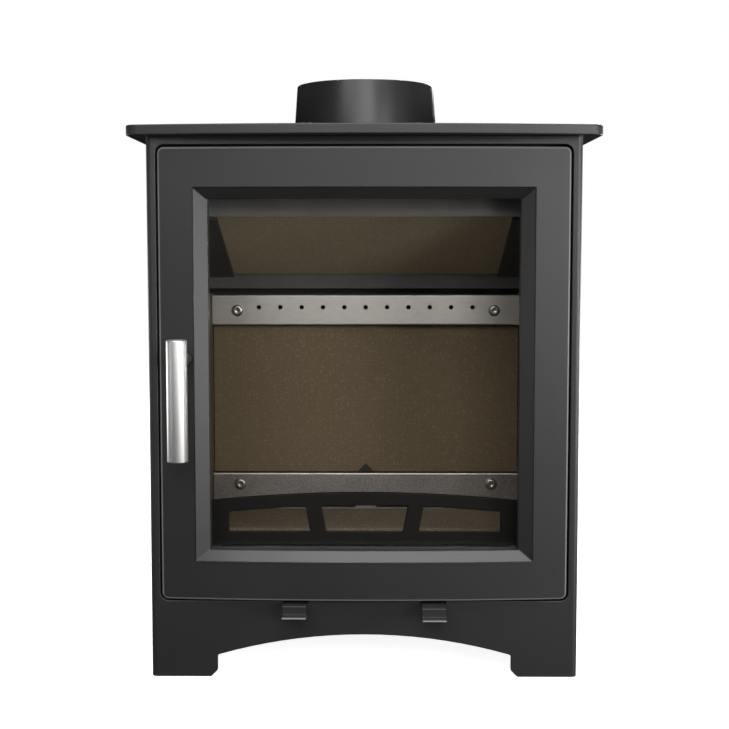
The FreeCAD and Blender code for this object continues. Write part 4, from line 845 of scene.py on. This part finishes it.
class STOVE_OT_air_bars(bpy.types.Operator):
    """Upper and lower air bars with their screws"""
    bl_idname = "stove.air_bars"
    bl_label = "Air bars"

    def execute(self, context):
        reach = 0.1 * MM
        for node, steel in (("upper_air_bar", "bar_steel"), ("lower_air_bar", "blasted_steel")):
            low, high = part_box(node)

            def bend(middle, low=low, high=high):
                outer = min(middle.z - low.z, high.z - middle.z) < reach
                return outer and middle.y < low.y + reach

            ease(node, sizes().thin_edge, steel, wide=[(sizes().bar_edge, bend)])
        for node in ("upper_bar_screws", "lower_bar_screws"):
            self.button_screws(node)
        return {"FINISHED"}

    def button_screws(self, node):
        """The node's two button heads: rounded up to a flat crown with a hexagon socket."""
        low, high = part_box(node)
        head = (high.z - low.z) / 2
        middle = (low.z + high.z) / 2
        long = high.y - low.y
        tall, crown, shank = sizes().button_height, sizes().button_crown, sizes().button_shank
        steps, rim_share, socket_floor_share = 6, 0.25, 0.4
        angles = [math.pi / 2 * step / steps for step in range(steps + 1)]
        dome = [(crown + (head - crown) * math.cos(angle),
                 tall * (rim_share + (1 - rim_share) * math.sin(angle))) for angle in angles]
        rings = [(shank, tall - long), (shank, 0), (head, 0), *dome]
        screws = []
        for across in (low.x + head, high.x - head):
            screw = turned(rings, (0, 0), closed=False)
            bpy.ops.mesh.primitive_cylinder_add(
                vertices=6, radius=sizes().button_socket, depth=2 * tall,
                location=(0, 0, tall * (1 + socket_floor_share)))
            key = bpy.context.object
            apply(screw, "BOOLEAN", {"operation": "DIFFERENCE", "object": key, "solver": "EXACT"})
            bpy.data.objects.remove(key)
            choose(screw)
            bpy.ops.object.transform_apply(location=True, rotation=True, scale=True)
            screw.rotation_euler = (math.pi / 2, 0, 0)
            screw.location = (across, low.y + tall, middle)
            bpy.ops.object.transform_apply(location=True, rotation=True, scale=True)
            apply(screw, "BEVEL", {"width": sizes().button_edge, "segments": 2, "limit_method": "ANGLE",
                                   "angle_limit": SHARP, "use_clamp_overlap": True})
            bpy.ops.object.shade_smooth_by_angle(angle=SHARP)
            screws.append(screw)
        choose(screws[0])
        screws[1].select_set(True)
        bpy.ops.object.join()
        settle(screws[0], "button_heads_" + node.split("_")[0], "screw_steel", node)


class STOVE_OT_air_slides(bpy.types.Operator):
    """Two air slides with their bent tabs"""
    bl_idname = "stove.air_slides"
    bl_label = "Air slides"

    def execute(self, context):
        for node in ("left_air_slide", "right_air_slide"):
            ease(node, sizes().thin_edge, "tab_paint")
        return {"FINISHED"}


class STOVE_OT_door(bpy.types.Operator):
    """Door frame, glass, gasket, clips, screws, pins and bush"""
    bl_idname = "stove.door"
    bl_label = "Door"

    def execute(self, context):
        ease("door_frame", sizes().door_edge, "door_paint")
        pane = block(*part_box("glass"))
        edit(pane)
        bpy.ops.mesh.bevel(offset=sizes().glass_edge, segments=2, affect="EDGES")
        choose(pane)
        bpy.ops.object.shade_smooth_by_angle(angle=PANE_SMOOTH)
        settle(pane, "door_pane", "glass", "glass")
        frame["nodes"]["glass_gasket"].material_slots[0].material = finish("rope")
        for node in ("glass_clips", "clip_screws"):
            ease(node, sizes().thin_edge, "dark_steel")
        for node in ("hinge_pins", "spindle_bush"):
            ease(node, sizes().thin_edge, "zinc")
        return {"FINISHED"}


class STOVE_OT_door_rope(bpy.types.Operator):
    """Braided rope round the back of the door"""
    bl_idname = "stove.door_rope"
    bl_label = "Door rope"

    def middle_line(self, low, high, half, corner, step):
        """Places and outward directions along a rounded rectangle, at even steps."""
        across, up = (low.x + high.x) / 2, (low.z + high.z) / 2
        reach = (high.x - low.x) / 2 - half - corner
        rise = (high.z - low.z) / 2 - half - corner
        places = []
        for index, (right, top) in enumerate(((1, 1), (-1, 1), (-1, -1), (1, -1))):
            turns = max(4, round(math.pi / 2 * corner / step))
            for turn in range(turns):
                angle = math.pi / 2 * (index + turn / turns)
                out = Vector((math.cos(angle), 0, math.sin(angle)))
                places.append((Vector((across + right * reach, 0, up + top * rise)) + out * corner, out))
            run = 2 * (reach if index % 2 == 0 else rise)
            along = Vector(((-1, 0, 0), (0, 0, -1), (1, 0, 0), (0, 0, 1))[index])
            out = Vector((along.z, 0, -along.x))
            start = Vector((across + right * reach, 0, up + top * rise)) + out * corner
            for count in range(round(run / step)):
                places.append((start + along * (count * step), out))
        return places

    def execute(self, context):
        low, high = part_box("rope_seal")
        half = sizes().rope_width / 2
        deep = (high.y - low.y) / 2
        around, sunk_share, squareness = 20, 0.14, 0.7
        line = self.middle_line(low, high, half, sizes().rope_corner, sizes().rope_step)
        vertices, faces = [], []
        travel = 0
        for index, (place, out) in enumerate(line):
            travel += (place - line[index - 1][0]).length if index else 0
            phase = math.tau * travel / sizes().rope_plait
            for corner in range(around):
                angle = math.tau * corner / around
                strand = abs(math.cos(2 * angle + phase / 2) * math.cos(2 * angle - phase / 2))
                swell = 1 - sunk_share + sunk_share * strand ** 0.5
                flat = math.copysign(abs(math.sin(angle)) ** squareness, math.sin(angle))
                vertices.append(place + out * (half * swell * math.cos(angle))
                                + Vector((0, (low.y + high.y) / 2 + deep * swell * flat, 0)))
        total = len(line)
        for index in range(total):
            after = (index + 1) % total
            for corner in range(around):
                beside = (corner + 1) % around
                faces.append((index * around + corner, index * around + beside,
                              after * around + beside, after * around + corner))
        mesh = bpy.data.meshes.new("braided_rope")
        mesh.from_pydata(vertices, [], faces)
        piece = bpy.data.objects.new("braided_rope", mesh)
        context.scene.collection.objects.link(piece)
        edit(piece)
        bpy.ops.mesh.normals_make_consistent(inside=False)
        choose(piece)
        bpy.ops.object.shade_smooth()
        settle(piece, "braided_rope", "rope", "rope_seal")
        return {"FINISHED"}


class STOVE_OT_handle(bpy.types.Operator):
    """Handle bar, spindle, collar, latch cam and its screw"""
    bl_idname = "stove.handle"
    bl_label = "Handle"

    def execute(self, context):
        low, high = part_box("handle_bar")
        radius = (high.x - low.x) / 2
        edge = sizes().handle_edge
        foot = [(radius - edge + across, low.z + edge + up)
                for across, up in quarter(edge, -math.pi / 2)]
        head = [(radius - edge + across, high.z - edge + up) for across, up in quarter(edge, 0)]
        piece = turned([*foot, *head], (low + high) / 2, closed=False)
        settle(piece, "handle_grip", "handle_steel", "handle_bar")
        ease("handle_spindle", sizes().thin_edge, "dark_steel")
        for node in ("spindle_collar", "latch_cam", "cam_screw"):
            ease(node, sizes().thin_edge, "zinc")
        return {"FINISHED"}


# Name, width, height, place, what it faces and its watts
SOFTBOXES = (
    ("right", 0.8, 0.8, (1.5, -2.3, 0.6), (0, -0.1, 0.3), 23.6),
    ("front_right", 0.7, 0.5, (0.4, -2.7, 1.1), (0, -0.1, 0.35), 8.8),
    ("front", 0.9, 0.6, (0.1, -2.3, 1.45), (0, -0.1, 0.4), 10),
    ("front_left", 0.6, 0.6, (-0.5, -2.6, 1.1), (0, -0.1, 0.35), 6.5),
    ("left", 0.8, 0.8, (-1.0, -1.8, 1.6), (0, -0.1, 0.3), 11.7),
    ("top", 1.6, 1.2, (0.2, -0.8, 2.5), (0, 0, 0.3), 57),
    ("right_low", 0.45, 0.5, (1.5, -0.85, 0.27), (0, -0.1, 0.27), 14),
    ("left_low", 0.45, 0.5, (-1.5, -0.85, 0.27), (0, -0.1, 0.27), 2),
    ("right_fill", 1.0, 0.3, (1.6, 0.9, 0.17), (0, 0, 0.25), 20),
    ("left_fill", 1.0, 0.3, (-1.6, 0.9, 0.17), (0, 0, 0.25), 8),
    ("back_fill", 1.2, 0.6, (0.3, 2.3, 1.2), (0, 0.1, 0.25), 60),
)


class STOVE_OT_studio(bpy.types.Operator):
    """White floor, grey cards for the reflections, soft lamps and the camera"""
    bl_idname = "stove.studio"
    bl_label = "Studio"

    def seen(self, tree):
        """1 for rays that show a background: from the camera, off gloss or through glass."""
        rays = [tree.node("LightPath", {}, {}, output="Is %s Ray" % kind)
                for kind in ("Camera", "Glossy", "Transmission")]
        return (rays[0] + rays[1] + rays[2]).limited()

    def lamp(self, name, width, height, place, target, power):
        bpy.ops.object.light_add(type="AREA", location=place)
        lamp = bpy.context.object
        lamp.name = name
        lamp.data.shape = "RECTANGLE"
        lamp.data.size = width
        lamp.data.size_y = height
        lamp.data.energy = power
        lamp.rotation_euler = (Vector(target) - Vector(place)).to_track_quat("-Z", "Y").to_euler()

    def card(self, name, width, height, place, facing, tone):
        """A grey card that only reflections see, so that black paint doesn't mirror the white room."""
        turn = Vector(facing).to_track_quat("Z", "Y").to_euler()
        bpy.ops.mesh.primitive_plane_add(size=1, location=place, rotation=turn)
        card = bpy.context.object
        card.name = name
        card.scale = (width, height, 1)
        for kind in ("camera", "shadow", "diffuse", "transmission"):
            setattr(card, "visible_" + kind, False)
        card.data.materials.append(tone)

    def cards(self, studio):
        glow = {"Base Color": BLACK, "Roughness": 1, "Specular IOR Level": 0,
                "Emission Color": WHITE, "Emission Strength": studio.card_tone}
        tone = Finish("grey_card", glow).material
        wide, deep, tall = 5.2, 7.8, 3.0
        front = -3.4
        middle = front + deep / 2
        self.card("front_card", wide, tall, (0, front, tall / 2), (0, 1, 0), tone)
        self.card("back_card", wide, tall, (0, front + deep, tall / 2), (0, -1, 0), tone)
        self.card("left_card", deep, tall, (-wide / 2, middle, tall / 2), (1, 0, 0), tone)
        self.card("right_card", deep, tall, (wide / 2, middle, tall / 2), (-1, 0, 0), tone)
        self.card("floor_card", wide, deep, (0, middle, MM), (0, 0, 1), tone)
        self.card("ceiling_card", wide, deep, (0, middle, tall), (0, 0, -1), tone)

    def floor(self, studio):
        """White floor: bright to the eye and in reflections, and dull in the light that it throws back."""
        bpy.ops.mesh.primitive_plane_add(size=studio.floor_side, location=(0, 0, 0))
        floor = bpy.context.object
        floor.name = "studio_floor"
        matt = Finish("white_floor", {"Roughness": 0.95, "Specular IOR Level": 0, "Emission Strength": 1})
        thrown = matt.node("LightPath", {}, {}, output="Is Diffuse Ray")
        bright, dull = (0.9, 0.9, 0.9, 1), (0.16, 0.16, 0.16, 1)
        matt.feed("Base Color", matt.mixed(bright, dull, thrown))
        away = matt.node("VectorMath", {"operation": "LENGTH"}, {0: matt.place}, output="Value")
        near = [studio.floor_lift] * 3 + [1]
        lift = matt.mixed(near, WHITE, matt.ramp(away * (0.5 / studio.floor_clear), (0.15, 0), (0.5, 1)))
        matt.feed("Emission Color", matt.mixed(BLACK, lift, self.seen(matt)))
        floor.data.materials.append(matt.material)

    def execute(self, context):
        scene = context.scene
        studio = scene.stove_studio
        choose(None)
        self.floor(studio)
        self.cards(studio)

        world = bpy.data.worlds.new("white_room")
        scene.world = world
        world.use_nodes = True
        room = Tree(world.node_tree)
        ambient = [studio.ambient] * 3 + [1]
        colour = room.mixed(ambient, WHITE, self.seen(room))
        world.node_tree.links.new(colour.socket, world.node_tree.nodes["Background"].inputs["Color"])

        for name, width, height, place, target, power in SOFTBOXES:
            self.lamp(name + "_softbox", width, height, place, target, power)

        bpy.ops.object.camera_add(location=studio.camera_place)
        camera = context.object
        camera.name = "photograph_camera"
        camera.rotation_euler = (math.pi / 2 - studio.camera_down, 0, studio.camera_left)
        camera.data.lens = studio.lens
        camera.data.sensor_width = studio.sensor
        scene.camera = camera
        scene.view_settings.view_transform = "Standard"
        return {"FINISHED"}


OPERATORS = (
    STOVE_OT_body_shell,
    STOVE_OT_flue_collar,
    STOVE_OT_firebox_steel,
    STOVE_OT_castings,
    STOVE_OT_fire_bricks,
    STOVE_OT_air_bars,
    STOVE_OT_air_slides,
    STOVE_OT_door,
    STOVE_OT_door_rope,
    STOVE_OT_handle,
    STOVE_OT_studio,
)


class STOVE_PT_pieces(bpy.types.Panel):
    """The stove's pieces, in the order that they are made"""
    bl_label = "Stove"
    bl_space_type = "VIEW_3D"
    bl_region_type = "UI"
    bl_category = "Stove"

    def draw(self, context):
        for operator in OPERATORS:
            self.layout.operator(operator.bl_idname)
        for group in (context.scene.stove_sizes, context.scene.stove_colours, context.scene.stove_studio):
            for name in group.__annotations__:
                self.layout.prop(group, name)


CLASSES = (StoveSizes, StoveColours, StudioSizes, *OPERATORS, STOVE_PT_pieces)


def register():
    for item in CLASSES:
        bpy.utils.register_class(item)
    bpy.types.Scene.stove_sizes = PointerProperty(type=StoveSizes)
    bpy.types.Scene.stove_colours = PointerProperty(type=StoveColours)
    bpy.types.Scene.stove_studio = PointerProperty(type=StudioSizes)


def unregister():
    del bpy.types.Scene.stove_studio
    del bpy.types.Scene.stove_colours
    del bpy.types.Scene.stove_sizes
    for item in reversed(CLASSES):
        bpy.utils.unregister_class(item)


def main():
    register()
    for operator in OPERATORS:
        group, name = operator.bl_idname.split(".")
        getattr(getattr(bpy.ops, group), name)()
    choose(None)


if __name__ == "__main__":
    main()
